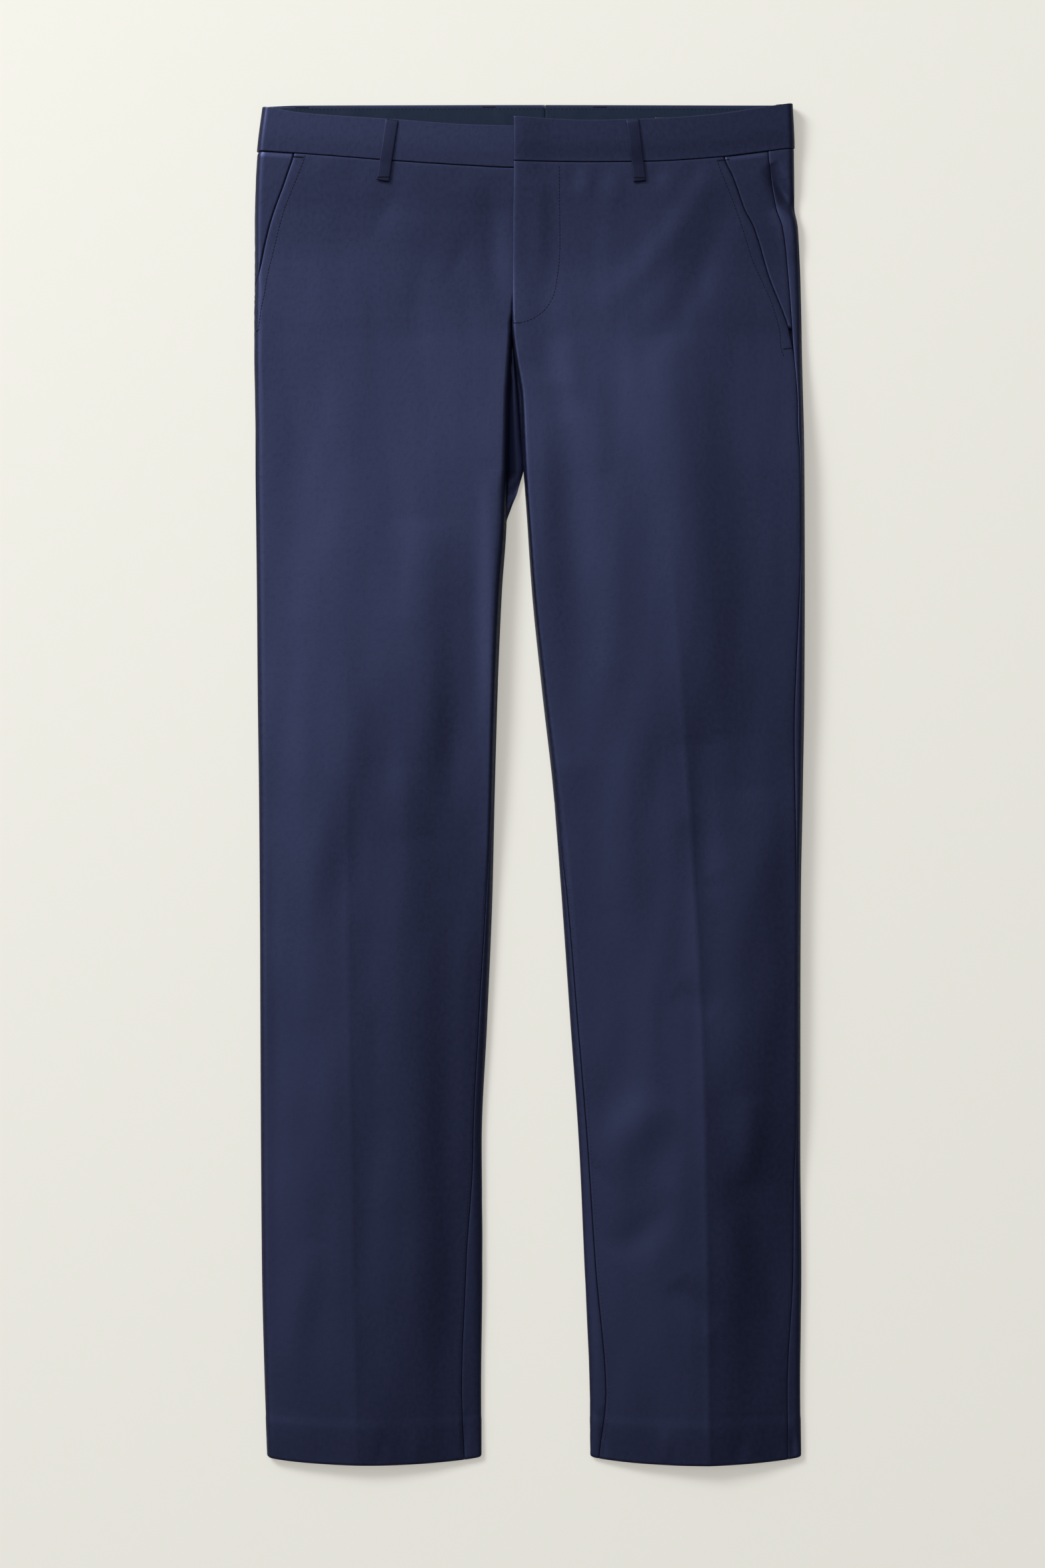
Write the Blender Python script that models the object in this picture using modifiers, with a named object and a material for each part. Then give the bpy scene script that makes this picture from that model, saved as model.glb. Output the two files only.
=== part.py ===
"""Pressed dress trousers, laid on their back with the fly up and the legs side by side.

Sizes are in millimetres and the model is built in metres. X runs toward the wearer's left and Z up from
the surface. Lengths along the garment are given as `down`, the distance from the top edge of the back
waistband toward the hems, and Y runs the other way from the middle of that length. The cloth is the middle
surface of a wall: every panel is cut from the same rings, so its edges follow the seams of its neighbours.
"""

import math
from collections import namedtuple

import bmesh
import bpy
import numpy as np

MM = 0.001
LENGTH = 1112.0  # back waist to the lowest point of the hems
CLOTH = 1.2  # wall of the wool cloth with its pressed seams
BAND_WALL = 2.0  # waistband: two layers and an interlining
LOOP_WALL = 1.4
THIN_WALL = 0.8  # waistband lining and zip tape
LABEL_WALL = 0.5
SEAM = 0.3  # gap between pieces that lie on each other
JOIN = 0.4  # gap between the middles of two edges that are sewn together
CROTCH_JOIN = 1.0  # the same where the four panels meet

BAND_DEPTH = 36.0
CROTCH = 300.0  # down to the point where the four panels meet
CROTCH_CLOSE = 18.0  # length over which the leg's tube closes below that point
HEM_TURN = 34.0  # depth of the turned-up hem
HEM_INWARD = 1.95  # from the leg's cloth to the turn-up's, middle to middle
HEM_WALL = 1.0
HEM_BOW = 6.5  # how far the hem hangs lower at the crease than at the leg's folds
UNDER_HEM_BOW = 2.5
HEM_BLEND = 2.5 * HEM_TURN  # length over which the panels take up the hem's bow
WAIST_BLEND = 80.0  # length over which they take up the line of the band's seam

FLY_END = 170.0  # the overlap of the fronts is closed by a seam below this
FLY_SEAM = 176.0
FLY_EDGE = -13.0  # x of the fly's free edge
FLY_TUCK = 8.0  # the right front reaches this far behind the fly's edge
FLY_WIDTH = 37.5  # facing behind the fly, out to its curved row of stitches
FLY_DEPTH = 128.0
FLY_DROP = 3.0  # cloth, facing and their gaps between the two fronts
FLY_FADE = 10.0  # length below the seam's start over which the fronts come level again
FACING_WALL = 1.0
FACING_END = 6.0  # the facing stops this far short of the fly's depth
FACING_ROUND = 0.38  # share of its length over which its edge curves in to the fly
FACING_TIP = 0.16  # share of its width that is left at its lower end
BAND_REACH = 32.0  # x where the right band's tongue ends behind the left one
BAND_DROP = 4.5  # band and hook between the two bands
DROP_RUN = 46.0  # length over which the right side sinks behind the fly
DROP_CLEAR = 3.0  # it has sunk all the way this far before the edge

POCKET_COLUMNS = 3  # columns of the front that the pocket's facing lies behind
POCKET_END = 186.0
POCKET_DROP = CLOTH + SEAM + 0.6

LINING_TOP = 3.3  # the lining starts this far below the back band's top edge
LINING_BOTTOM = 1.0  # and ends this far above its bottom edge
LINING_SIDE = 14.0  # and stops this far short of the side fold

FINE = 181  # points on a ring before its columns are chosen
COARSE = 40  # points along the flat layer below it
CORNER = 12  # points round a small corner
WRAP = 60  # points that a closed ring repeats past each of its ends
EDGE_STEP = 0.6  # width of the narrow columns along the seams
TURN_WEIGHT = 18.0  # millimetres of flat cloth that get as many columns as one radian of fold
ROUND_POWER = 0.62  # how blunt a rolled edge is: under 1 it stands up steeply from the fold
FLAT_POWER = 2.0  # and over 1 it leaves the edge level
WEB_SPAN = 6.0  # length of cloth between the legs that counts as a whole web
JOIN_RUN = 30.0  # length below the crotch over which its wide gap narrows
INNER_REACH = 60.0  # length of cloth beside the inner end in which an inseam is looked for

Profile = namedtuple("Profile", "down lift crown centre edge roll")
PROFILE = [
    # height of the underside, of the front's crown and centre, of the folds' widest point, and how
    # fully each front rolls over at its inner edge
    Profile(0, 2.0, 13.0, 12.5, 6.4, 0.0),
    Profile(36, 2.0, 13.4, 12.8, 6.4, 0.0),
    Profile(56, 2.0, 13.6, 12.9, 6.4, 0.0),
    Profile(100, 0.0, 13.9, 13.0, 4.8, 0.0),
    Profile(140, 0.0, 14.2, 13.0, 4.6, 0.0),
    Profile(184, 0.0, 14.6, 12.6, 4.4, 0.1),
    Profile(210, 0.0, 15.0, 10.0, 4.2, 0.6),
    Profile(240, 0.0, 15.4, 7.2, 4.0, 1.0),
    Profile(300, 0.0, 16.0, 5.8, 4.0, 1.0),
    Profile(400, 0.0, 16.4, 3.8, 3.8, 1.0),
    Profile(520, 0.0, 16.0, 3.8, 3.8, 1.0),
    Profile(700, 0.0, 15.0, 3.8, 3.8, 1.0),
    Profile(900, 0.0, 15.0, 3.8, 3.8, 1.0),
    Profile(1112, 0.0, 14.0, 3.8, 3.8, 1.0),
]

Outline = namedtuple("Outline", "down outer inner end crease inseam outseam mouth")
RIGHT = [
    # x of the outer fold, of the rolled inner edge, of the cloth's end and of the crease, then the
    # insets of the seams and the pocket mouth from their fold, which are negative on the underside
    Outline(0, -217.5, -13.2, -13.2, -150, 0, -4, 32),
    Outline(36, -222.0, -13.2, -13.2, -150, 0, -4, 30),
    Outline(60, -223.5, -13.4, -13.4, -150, 0, -7, 24),
    Outline(100, -224.5, -13.8, -13.8, -150, 0, -9, 12),
    Outline(140, -224.5, -14.2, -14.2, -150, 0, -11, 3),
    Outline(178, -225.0, -14.4, -14.2, -150, 0, -10.5, -7),
    Outline(200, -225.0, -14.8, -13.6, -150, 0, -10, -10),
    Outline(240, -224.5, -17.3, -11.0, -150, 0, -9, -9),
    Outline(270, -224.0, -17.8, -8.5, -150, 0, -8.5, -8.5),
    Outline(300, -224.0, -18.3, -4.9, -150, 0, -8, -8),
    Outline(340, -223.5, -19.0, -19.0, -150, -0.1, -8, -8),
    Outline(400, -222.8, -23.0, -23.0, -149.8, -0.8, -8, -8),
    Outline(480, -222.2, -26.4, -26.4, -149.4, 0.1, -8, -8),
    Outline(560, -221.2, -28.7, -28.7, -148.7, 0.6, -7, -7),
    Outline(650, -220.6, -30.8, -30.8, -148.5, 4.5, -6.5, -6.5),
    Outline(750, -220.1, -35.0, -35.0, -147.4, 6.4, -6, -6),
    Outline(850, -219.6, -39.4, -39.4, -145.5, 6.6, -6, -6),
    Outline(950, -218.5, -38.8, -38.8, -144.2, 13.0, -6, -6),
    Outline(1050, -215.9, -39.9, -39.9, -141.8, 15.5, -6, -6),
    Outline(1112, -214.2, -39.7, -39.7, -141.0, 13.6, -5, -5),
]
LEFT = [
    Outline(0, 214.0, -13.0, -13.0, 94, 0, 21, 59),
    Outline(36, 216.5, -13.0, -13.0, 95, 0, 21, 57),
    Outline(60, 216.6, -13.2, -13.2, 96, 0, 18.5, 48),
    Outline(100, 219.3, -13.6, -13.6, 98, 0, 12.5, 36),
    Outline(140, 221.3, -13.9, -13.9, 100, 0, 9.8, 26),
    Outline(178, 222.3, -13.9, -14.2, 103, 0, 8, 12.5),
    Outline(200, 222.6, -13.0, -13.6, 105, 0, 7, 7),
    Outline(240, 223.6, -5.6, -11.0, 108, 0, 5, 5),
    Outline(270, 224.3, -4.0, -8.5, 110, 0, 5.2, 5.2),
    Outline(300, 224.6, -2.0, -4.9, 112, 0, 3.8, 3.8),
    Outline(340, 224.8, -1.6, -1.6, 113.6, -0.1, 3.0, 3.0),
    Outline(400, 224.9, 2.5, 2.5, 118.5, -0.9, 5.0, 5.0),
    Outline(480, 224.6, 10.7, 10.7, 124, -0.9, 8.2, 8.2),
    Outline(560, 223.4, 19.7, 19.7, 129.5, -0.3, 7.0, 7.0),
    Outline(650, 221.8, 26.8, 26.8, 134.7, 4.2, 4.0, 4.0),
    Outline(750, 221.4, 33.8, 33.8, 140.2, 5.6, 3.1, 3.1),
    Outline(850, 221.4, 40.8, 40.8, 143.2, 6.7, 3.9, 3.9),
    Outline(950, 222.3, 45.4, 45.4, 144.8, 8.7, 6.7, 6.7),
    Outline(1050, 221.4, 49.5, 49.5, 146.1, 13.0, 10.5, 10.5),
    Outline(1112, 222.0, 50.4, 50.4, 146.5, 6.5, 10.5, 10.5),
]

WaistLine = namedtuple("WaistLine", "x top bottom")
RIGHT_WAIST = [
    WaistLine(-222.0, 2.4, 39.0),
    WaistLine(-183.0, 8.5, 41.5),
    WaistLine(-107.0, 13.7, 47.3),
    WaistLine(-53.0, 17.5, 50.7),
    WaistLine(-13.0, 18.6, 52.6),
    WaistLine(BAND_REACH, 18.8, 53.0),
]
LEFT_WAIST = [
    WaistLine(-13.0, 11.7, 47.4),
    WaistLine(48.0, 14.5, 48.2),
    WaistLine(98.0, 13.3, 47.6),
    WaistLine(148.0, 9.8, 44.5),
    WaistLine(190.0, 3.7, 39.5),
    WaistLine(216.5, 0.0, 36.0),
]

Seat = namedtuple("Seat", "waist crotch")
CENTRE_BACK = Seat(waist=12.8, crotch=-4.9)  # x of the centre-back seam at its two ends

Fold = namedtuple("Fold", "x_from down_from x_to down_to width depth")
FOLDS = {
    # the largest soft folds of each front: negative depth is a ridge
    "right": [
        Fold(-70, 330, -66, 620, 14, 1.4),
        Fold(-42, 380, -40, 640, 10, -1.0),
        Fold(-95, 700, -60, 1060, 22, 1.2),
    ],
    "left": [
        Fold(196, 60, 214, 96, 7, 1.4),
        Fold(178, 720, 170, 1040, 24, 1.6),
        Fold(72, 780, 98, 940, 18, -1.0),
    ],
}
CREASE_FROM, CREASE_FULL = 270.0, 480.0
CREASE_HEIGHT, CREASE_WIDTH = 1.1, 11.0

Side = namedtuple("Side", "name outline waist outward")
SIDES = [
    Side("right", RIGHT, RIGHT_WAIST, -1),
    Side("left", LEFT, LEFT_WAIST, 1),
]

PANEL_STATIONS = [
    56, 86, 116, 138, 148, 156, 163, FLY_END, FLY_SEAM, 186, 210, 240, 270, CROTCH, CROTCH + CROTCH_CLOSE,
    340, 380, 430, 490, 560, 630, 710, 790, 870, 950, 1015, LENGTH - HEM_TURN,
]  # fmt: skip
FRONT_COLUMNS = (7, 7)  # from the side to the crease, and on to the centre
BACK_COLUMNS = 14

Label = namedtuple("Label", "x_from x_to top middle bottom")
LABEL = Label(102.7, 126.2, 10.4, 22.0, 34.0)

Zip = namedtuple("Zip", "before_edge past_edge top clear drop")
ZIP = Zip(before_edge=6.0, past_edge=24.0, top=56.0, clear=3.0, drop=0.25)

Slider = namedtuple("Slider", "x down half_body half_tab neck length metal")
SLIDER = Slider(x=-0.8, down=60.0, half_body=3.4, half_tab=1.9, neck=9.0, length=21.5, metal=0.9)

Hook = namedtuple("Hook", "x down metal step width reach overlap bar_x bar_width foot")
HOOK = Hook(3.0, 33.0, 0.7, 1.0, 8.0, 16.0, 8.0, 14.2, 2.4, 3.2)
HOOK_CLEAR = 0.15

Loop = namedtuple("Loop", "name side x lean on_front")
LOOPS = [
    Loop("belt_loop_front_right", "right", -112.0, -7.5, True),
    Loop("belt_loop_front_left", "left", 84.0, 6.0, True),
    Loop("belt_loop_side_right", "right", -186.0, 0.0, False),
    Loop("belt_loop_back_right", "right", -33.0, 0.0, False),
    Loop("belt_loop_back_left", "left", 58.0, 0.0, False),
    Loop("belt_loop_side_left", "left", 200.0, 0.0, False),
]
LOOP_WIDTH, LOOP_LENGTH, LOOP_BOW = 10.0, 49.0, 0.9
LOOP_BELOW_TOP = 0.8

NAVY = (0.030, 0.034, 0.080)
INNER_NAVY = (0.018, 0.030, 0.052)
FINISHES = {
    # base colour, roughness, metallic
    "wool_cloth": (NAVY, 0.82, 0.0),
    "band_lining": (INNER_NAVY, 0.7, 0.0),
    "zip_cotton": ((0.02, 0.022, 0.04), 0.8, 0.0),
    "nickel": ((0.55, 0.55, 0.56), 0.3, 1.0),
    "label_satin": ((0.045, 0.050, 0.035), 0.5, 0.0),
}


# Curves through the tables


def smooth(share):
    """An ease from 0 to 1 as share goes from 0 to 1."""
    share = np.clip(share, 0.0, 1.0)
    return share * share * (3.0 - 2.0 * share)


def curve_value(places, values, at):
    """Value at `at` on a smooth curve through the points, which never overshoots them."""
    places, values = np.asarray(places, float), np.asarray(values, float)
    at = np.clip(at, places[0], places[-1])
    steps = np.diff(places)
    slopes = np.diff(values) / steps
    turns = slopes[:-1] * slopes[1:] > 0
    inner = np.where(turns, 2 * slopes[:-1] * slopes[1:] / np.where(turns, slopes[:-1] + slopes[1:], 1), 0)
    tangents = np.concatenate([slopes[:1], inner, slopes[-1:]])
    span = np.clip(np.searchsorted(places, at, side="right") - 1, 0, len(steps) - 1)
    step, part = steps[span], (at - places[span]) / steps[span]
    start, end = values[span], values[span + 1]
    bend_in = tangents[span] * step - (end - start)
    bend_out = (end - start) - tangents[span + 1] * step
    line = start + (end - start) * part
    return line + part * (1 - part) * ((1 - part) * bend_in + part * bend_out)


def column(table, name, at, key="down"):
    """Value of one column of a table at any place between its rows."""
    return curve_value([getattr(row, key) for row in table], [getattr(row, name) for row in table], at)


def waist_line(side, x):
    """Down of the band's top and bottom edges on the front."""
    return column(side.waist, "top", x, "x"), column(side.waist, "bottom", x, "x")


def back_waist_line(x):
    """Down of the band's top and bottom edges on the back, straight between the two side folds."""
    right, left = RIGHT_WAIST[0], LEFT_WAIST[-1]
    share = (x - right.x) / (left.x - right.x)
    return right.top + (left.top - right.top) * share, right.bottom + (left.bottom - right.bottom) * share


def centre_back(down):
    """x of the centre-back seam."""
    return CENTRE_BACK.waist + (CENTRE_BACK.crotch - CENTRE_BACK.waist) * down / CROTCH


# Rings: one cross-section of a half of the garment, or of one leg


def fold_height(side, x, down):
    """How far the soft folds and the crease move the front's surface."""
    moved = np.zeros_like(x)
    for fold in FOLDS[side.name]:
        along = (down - fold.down_from) / (fold.down_to - fold.down_from)
        if 0 < along < 1:
            middle = fold.x_from + (fold.x_to - fold.x_from) * along
            across = np.exp(-(((x - middle) / fold.width) ** 2))
            moved -= fold.depth * math.sin(math.pi * along) * across
    crease = column(side.outline, "crease", down)
    pressed = smooth((down - CREASE_FROM) / (CREASE_FULL - CREASE_FROM))
    tent = np.clip(1 - np.abs(x - crease) / CREASE_WIDTH, 0, 1)
    return moved + CREASE_HEIGHT * pressed * tent


def front_line(side, down, reach=None):
    """Points (x, z) of the front layer, from its outer fold to its inner end."""
    outer = column(side.outline, "outer", down)
    inner = column(side.outline, "inner", down) if reach is None else reach
    end = column(side.outline, "end", down) if reach is None else reach
    edge, crown = column(PROFILE, "edge", down), column(PROFILE, "crown", down)
    centre, roll = column(PROFILE, "centre", down), column(PROFILE, "roll", down)
    closing = smooth((down - CROTCH) / CROTCH_CLOSE)
    web = min(abs(end - inner) / WEB_SPAN, 1.0)
    low = centre + (edge + (centre - edge) * web - centre) * closing
    turn = np.linspace(0, math.pi, FINE)
    x = outer + (inner - outer) * (1 - np.cos(turn)) / 2
    start = np.where(turn < math.pi / 2, edge, low)
    power = np.where(turn < math.pi / 2, ROUND_POWER, FLAT_POWER + (ROUND_POWER - FLAT_POWER) * roll)
    share = np.sin(turn).clip(0) ** power
    z = start + (crown - start) * share + fold_height(side, x, down) * share
    line = np.stack([x, z], axis=1)
    if abs(end - inner) > 0.5:
        corner = np.linspace(0, math.pi / 2, CORNER)[1:]
        web_x = inner + (end - inner) * np.sin(corner)
        web_z = low + (edge - low) * closing * (1 - np.cos(corner))
        line = np.vstack([line, np.stack([web_x, web_z], axis=1)])
    return line


def under_line(side, down, wall=CLOTH):
    """Points (x, z) of the layer on the surface, from the outer fold to the inner end."""
    outer = column(side.outline, "outer", down)
    edge = column(PROFILE, "edge", down)
    flat = wall / 2 + column(PROFILE, "lift", down)
    closing = smooth((down - CROTCH) / CROTCH_CLOSE)
    end = column(side.outline, "end", down) * closing + centre_back(down) * (1 - closing)
    if down <= CROTCH:
        end = centre_back(down)
    corner = np.linspace(0, math.pi / 2, CORNER)
    run = edge - flat
    inward = -side.outward
    outer_x = outer + inward * run * (1 - np.cos(corner))
    outer_z = edge - (edge - flat) * np.sin(corner)
    parts = [np.stack([outer_x, outer_z], axis=1)]
    flat_x = np.linspace(outer_x[-1], end - inward * run * closing, COARSE)[1:]
    parts.append(np.stack([flat_x, np.full_like(flat_x, flat)], axis=1))
    if closing > 0:
        inner_x = end - inward * run * closing * (1 - np.sin(corner[1:]))
        inner_z = flat + (edge - flat) * closing * (1 - np.cos(corner[1:]))
        parts.append(np.stack([inner_x, inner_z], axis=1))
    return np.vstack(parts)


def lengths_along(points):
    """Distance from the first point to each point of a line."""
    steps = np.linalg.norm(np.diff(points, axis=0), axis=1)
    return np.concatenate([[0.0], np.cumsum(steps)])


class Ring:
    """The cloth round one half of the garment at one station.

    Its line starts at the inner end, runs under the leg to the outer fold and comes back over the front.
    Below the crotch it is a closed tube, and places on it may run past either end."""

    def __init__(self, side, down, wall=CLOTH, reach=None):
        front = front_line(side, down, reach)
        under = under_line(side, down, wall)
        self.side, self.down = side, down
        self.fold = lengths_along(under)[-1]
        loop = np.vstack([under[::-1], front[1:]])
        self.total = lengths_along(loop)[-1]
        self.closed = down > CROTCH
        if self.closed:
            before, after = loop[-WRAP:-1], loop[1:WRAP]
            loop = np.vstack([before, loop, after])
            self.start = -lengths_along(loop[: len(before) + 1])[-1]
        else:
            self.start = 0.0
        self.points = loop
        self.at = self.start + lengths_along(loop)
        self.outward = self._normals()

    def _normals(self):
        """Directions out of the tube, along the line."""
        along = np.gradient(self.points, axis=0)
        along /= np.linalg.norm(along, axis=1)[:, None]
        turned = np.stack([along[:, 1], -along[:, 0]], axis=1)
        return turned * (1 if self.side.outward > 0 else -1)

    def place_of(self, inset):
        """Place on the ring at an inset from the outer fold: on the front, or below it when negative."""
        outer = column(self.side.outline, "outer", self.down)
        on_side = self.at >= self.fold if inset >= 0 else self.at <= self.fold
        near = np.abs(self.at - self.fold) < self.total / 2
        chosen = on_side & near
        insets, places = np.abs(self.points[chosen, 0] - outer), self.at[chosen]
        order = np.argsort(insets)
        return float(np.interp(abs(inset), insets[order], places[order]))

    def inner_place(self, inset):
        """Place at an inset from the inner end of a closed ring, past the ring's end when negative."""
        end = self.points[np.argmin(np.abs(self.at - self.total)), 0]
        on_front = (self.at <= self.total) & (self.at > self.total - INNER_REACH)
        below = (self.at >= self.total) & (self.at < self.total + INNER_REACH)
        chosen = on_front if inset >= 0 else below
        insets, places = np.abs(self.points[chosen, 0] - end), self.at[chosen]
        order = np.argsort(insets)
        return float(np.interp(abs(inset), insets[order], places[order]))

    def sample(self, places, inward=0.0):
        """Points at these places, moved toward the inside of the tube."""
        x = np.interp(places, self.at, self.points[:, 0])
        z = np.interp(places, self.at, self.points[:, 1])
        out_x = np.interp(places, self.at, self.outward[:, 0])
        out_z = np.interp(places, self.at, self.outward[:, 1])
        return np.stack([x - inward * out_x, z - inward * out_z], axis=1)

    def spread(self, start, end, count, narrow=(False, False)):
        """Places from start to end in `count` steps, closer together where the line turns.

        A narrow first or last step keeps the wall's edges square to the line at a seam."""
        if narrow[0]:
            rest = self.spread(start + EDGE_STEP, end, count - 1, (False, narrow[1]))
            return np.concatenate([[start], rest])
        if narrow[1]:
            return np.concatenate([self.spread(start, end - EDGE_STEP, count - 1), [end]])
        fine = np.linspace(start, end, 240)
        points = self.sample(fine)
        steps = np.diff(points, axis=0)
        headings = np.unwrap(np.arctan2(steps[:, 1], steps[:, 0]))
        turning = np.abs(np.diff(headings, prepend=headings[0]))
        weight = np.linalg.norm(steps, axis=1) + TURN_WEIGHT * turning
        measure = np.concatenate([[0.0], np.cumsum(weight)])
        return np.interp(np.linspace(0, measure[-1], count + 1), measure, fine)

    def seams(self):
        """Places of the inseam's end of the back, the outseam and the front's end."""
        outseam = self.place_of(column(self.side.outline, "outseam", self.down))
        if not self.closed:
            return JOIN / 2, outseam, self.total - JOIN / 2
        inseam = self.inner_place(column(self.side.outline, "inseam", self.down))
        below = (self.down - CROTCH - CROTCH_CLOSE) / JOIN_RUN
        join = JOIN + (CROTCH_JOIN - JOIN) * (1 - smooth(below))
        return inseam - self.total + join / 2, outseam, inseam - join / 2


def to_space(points, downs):
    """Points (x, z) in millimetres at these distances down, as (x, y, z) in metres."""
    y = LENGTH / 2 - np.asarray(downs, float) * np.ones(len(points))
    return np.stack([points[:, 0], y, points[:, 1]], axis=1) * MM


def panel_down(side, station, points, on_front):
    """Down of a panel's points, which follow the band's seam at the top and the hem's bow at the bottom."""
    outer, inner = (column(side.outline, name, station) for name in ("outer", "inner"))
    share = np.clip((points[:, 0] - outer) / (inner - outer), 0, 1)
    bow = np.where(on_front, HEM_BOW, UNDER_HEM_BOW) * np.sin(math.pi * share) ** 0.8 - HEM_BOW
    near_hem = smooth((station - (LENGTH - HEM_BLEND)) / HEM_BLEND)
    front_seam = waist_line(side, points[:, 0])[1]
    back_seam = back_waist_line(points[:, 0])[1]
    seam = np.where(on_front, front_seam, back_seam) + SEAM
    near_waist = 1 - smooth((station - BAND_DEPTH) / WAIST_BLEND)
    return station + (seam - BAND_DEPTH) * near_waist + bow * near_hem


# Panels


def sink_behind_fly(side, points, on_front, down, drop):
    """Lowers the right side's cloth where it passes behind the left side's edge."""
    if side.name == "left":
        return points
    share = smooth((points[:, 0] - (FLY_EDGE - DROP_RUN)) / (DROP_RUN - DROP_CLEAR))
    fade = 1 - smooth((down - FLY_SEAM) / FLY_FADE)
    points[:, 1] -= drop * share * fade * on_front
    return points


def front_ring(side, station):
    """The ring of a front panel, which reaches behind the fly on the right side."""
    tucked = side.name == "right" and station <= FLY_END
    return Ring(side, station, reach=FLY_EDGE + FLY_TUCK if tucked else None)


def front_places(ring):
    """Places of a front panel's columns, from its pocket mouth or side seam to its inner end."""
    outline = ring.side.outline
    start = ring.place_of(column(outline, "mouth", ring.down)) + JOIN / 2
    crease = ring.place_of(abs(column(outline, "crease", ring.down) - column(outline, "outer", ring.down)))
    first = ring.spread(start, crease, FRONT_COLUMNS[0], narrow=(True, False))
    last = ring.spread(crease, ring.seams()[2], FRONT_COLUMNS[1], narrow=(False, True))
    return np.concatenate([first, last[1:]])


def back_places(ring):
    """Places of a back panel's columns, from the inseam or centre back to the side seam."""
    start, outseam, _ = ring.seams()
    return ring.spread(start, outseam - JOIN / 2, BACK_COLUMNS, narrow=(True, True))


def front_rows(side):
    """Rows of points over one front panel, from the band to the hem."""
    rows = []
    for station in [BAND_DEPTH, *PANEL_STATIONS, LENGTH]:
        ring = front_ring(side, station)
        places = front_places(ring)
        points = ring.sample(places)
        downs = panel_down(side, station, points, places >= ring.fold)
        points = sink_behind_fly(side, points, 1.0, station, FLY_DROP)
        rows.append(to_space(points, downs))
    return rows


def back_rows(side):
    """Rows of points over one back panel, from the band to the hem."""
    rows = []
    for station in [BAND_DEPTH, *PANEL_STATIONS, LENGTH]:
        ring = Ring(side, station)
        places = back_places(ring)
        points = ring.sample(places)
        on_front = (places >= ring.fold) | (places < 0)
        rows.append(to_space(points, panel_down(side, station, points, on_front)))
    return rows


def hem_rows(side):
    """Rows of points round the turned-up hem inside one leg, in the columns of its back and its front."""
    rows = []
    for station in (LENGTH - HEM_TURN, LENGTH):
        ring = Ring(side, station)
        places = np.concatenate([back_places(ring), front_places(ring)])
        points = ring.sample(places, HEM_INWARD)
        on_front = (places >= ring.fold) | (places < 0)
        rows.append(to_space(points, panel_down(side, station, ring.sample(places), on_front)))
    return rows


# Waist


def band_rows(side):
    """Rows of points over one half of the waistband, from centre back round the side to the fly."""
    rows = []
    for share in (0.0, 0.5, 1.0):
        ring = Ring(side, BAND_DEPTH * share, BAND_WALL, reach=BAND_REACH if side.name == "right" else None)
        places = np.concatenate(
            [ring.spread(JOIN / 2, ring.fold, 9), ring.spread(ring.fold, ring.total - JOIN / 2, 12)[1:]]
        )
        points = ring.sample(places)
        front_top, front_bottom = waist_line(side, points[:, 0])
        back_top, back_bottom = back_waist_line(points[:, 0])
        on_front = places >= ring.fold
        top = np.where(on_front, front_top, back_top)
        bottom = np.where(on_front, front_bottom, back_bottom)
        points = sink_behind_fly(side, points, on_front, 0.0, BAND_DROP)
        rows.append(to_space(points, top + (bottom - top) * share))
    return rows


def lining_rows(side):
    """Rows of points over the lining on the inside of the back band."""
    height = column(PROFILE, "lift", 0.0) + BAND_WALL + SEAM + THIN_WALL / 2
    outer = column(side.outline, "outer", 0.0) - LINING_SIDE * side.outward
    seam = centre_back(0.0) + side.outward * SEAM / 2
    x = np.linspace(seam, outer, 5)
    points = np.stack([x, np.full_like(x, height)], axis=1)
    top, bottom = back_waist_line(x)
    downs = (top + LINING_TOP, (top + bottom) / 2, bottom - LINING_BOTTOM)
    return [to_space(points, down) for down in downs]


def label_rows():
    """Rows of points over the blank label on the band's lining."""
    height = column(PROFILE, "lift", 0.0) + BAND_WALL + 2 * SEAM + THIN_WALL + LABEL_WALL / 2
    x = np.linspace(LABEL.x_from, LABEL.x_to, 3)
    points = np.stack([x, np.full_like(x, height)], axis=1)
    return [to_space(points, down) for down in (LABEL.top, LABEL.middle, LABEL.bottom)]


def front_height(side, x, down, drop):
    """Middle of a thing that lies `drop` below the front's middle surface at these x."""
    line = front_line(side, down)
    order = np.argsort(line[:, 0])
    return np.interp(x, line[order, 0], line[order, 1]) - drop


def facing_rows():
    """Rows of points over the facing behind the fly, which narrows along its curved row of stitches."""
    rows = []
    left = SIDES[1]
    top = waist_line(left, 0.0)[1] + 1.0
    for share in np.linspace(0, 1, 10):
        down = top + (FLY_DEPTH - FACING_END) * share
        past = max((share - (1 - FACING_ROUND)) / FACING_ROUND, 0.0)
        width = FLY_WIDTH * max(math.sqrt(max(1 - past**2, 0.0)), FACING_TIP)
        x = FLY_EDGE + EDGE_STEP + np.linspace(0, 1, 5) * width
        z = front_height(left, x, down, CLOTH / 2 + SEAM + FACING_WALL / 2)
        rows.append(to_space(np.stack([x, z], axis=1), down))
    return rows


def zip_rows():
    """Rows of points over the closed zip behind the fly."""
    rows = []
    x = np.linspace(FLY_EDGE - ZIP.before_edge, FLY_EDGE + ZIP.past_edge, 5)
    below = FLY_DROP + CLOTH / 2 + SEAM + THIN_WALL / 2 + ZIP.drop
    for down in np.linspace(ZIP.top, FLY_END - ZIP.clear, 7):
        z = front_height(SIDES[1], np.maximum(x, FLY_EDGE), down, below)
        rows.append(to_space(np.stack([x, z], axis=1), down))
    return rows


# Pockets and loops


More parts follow.
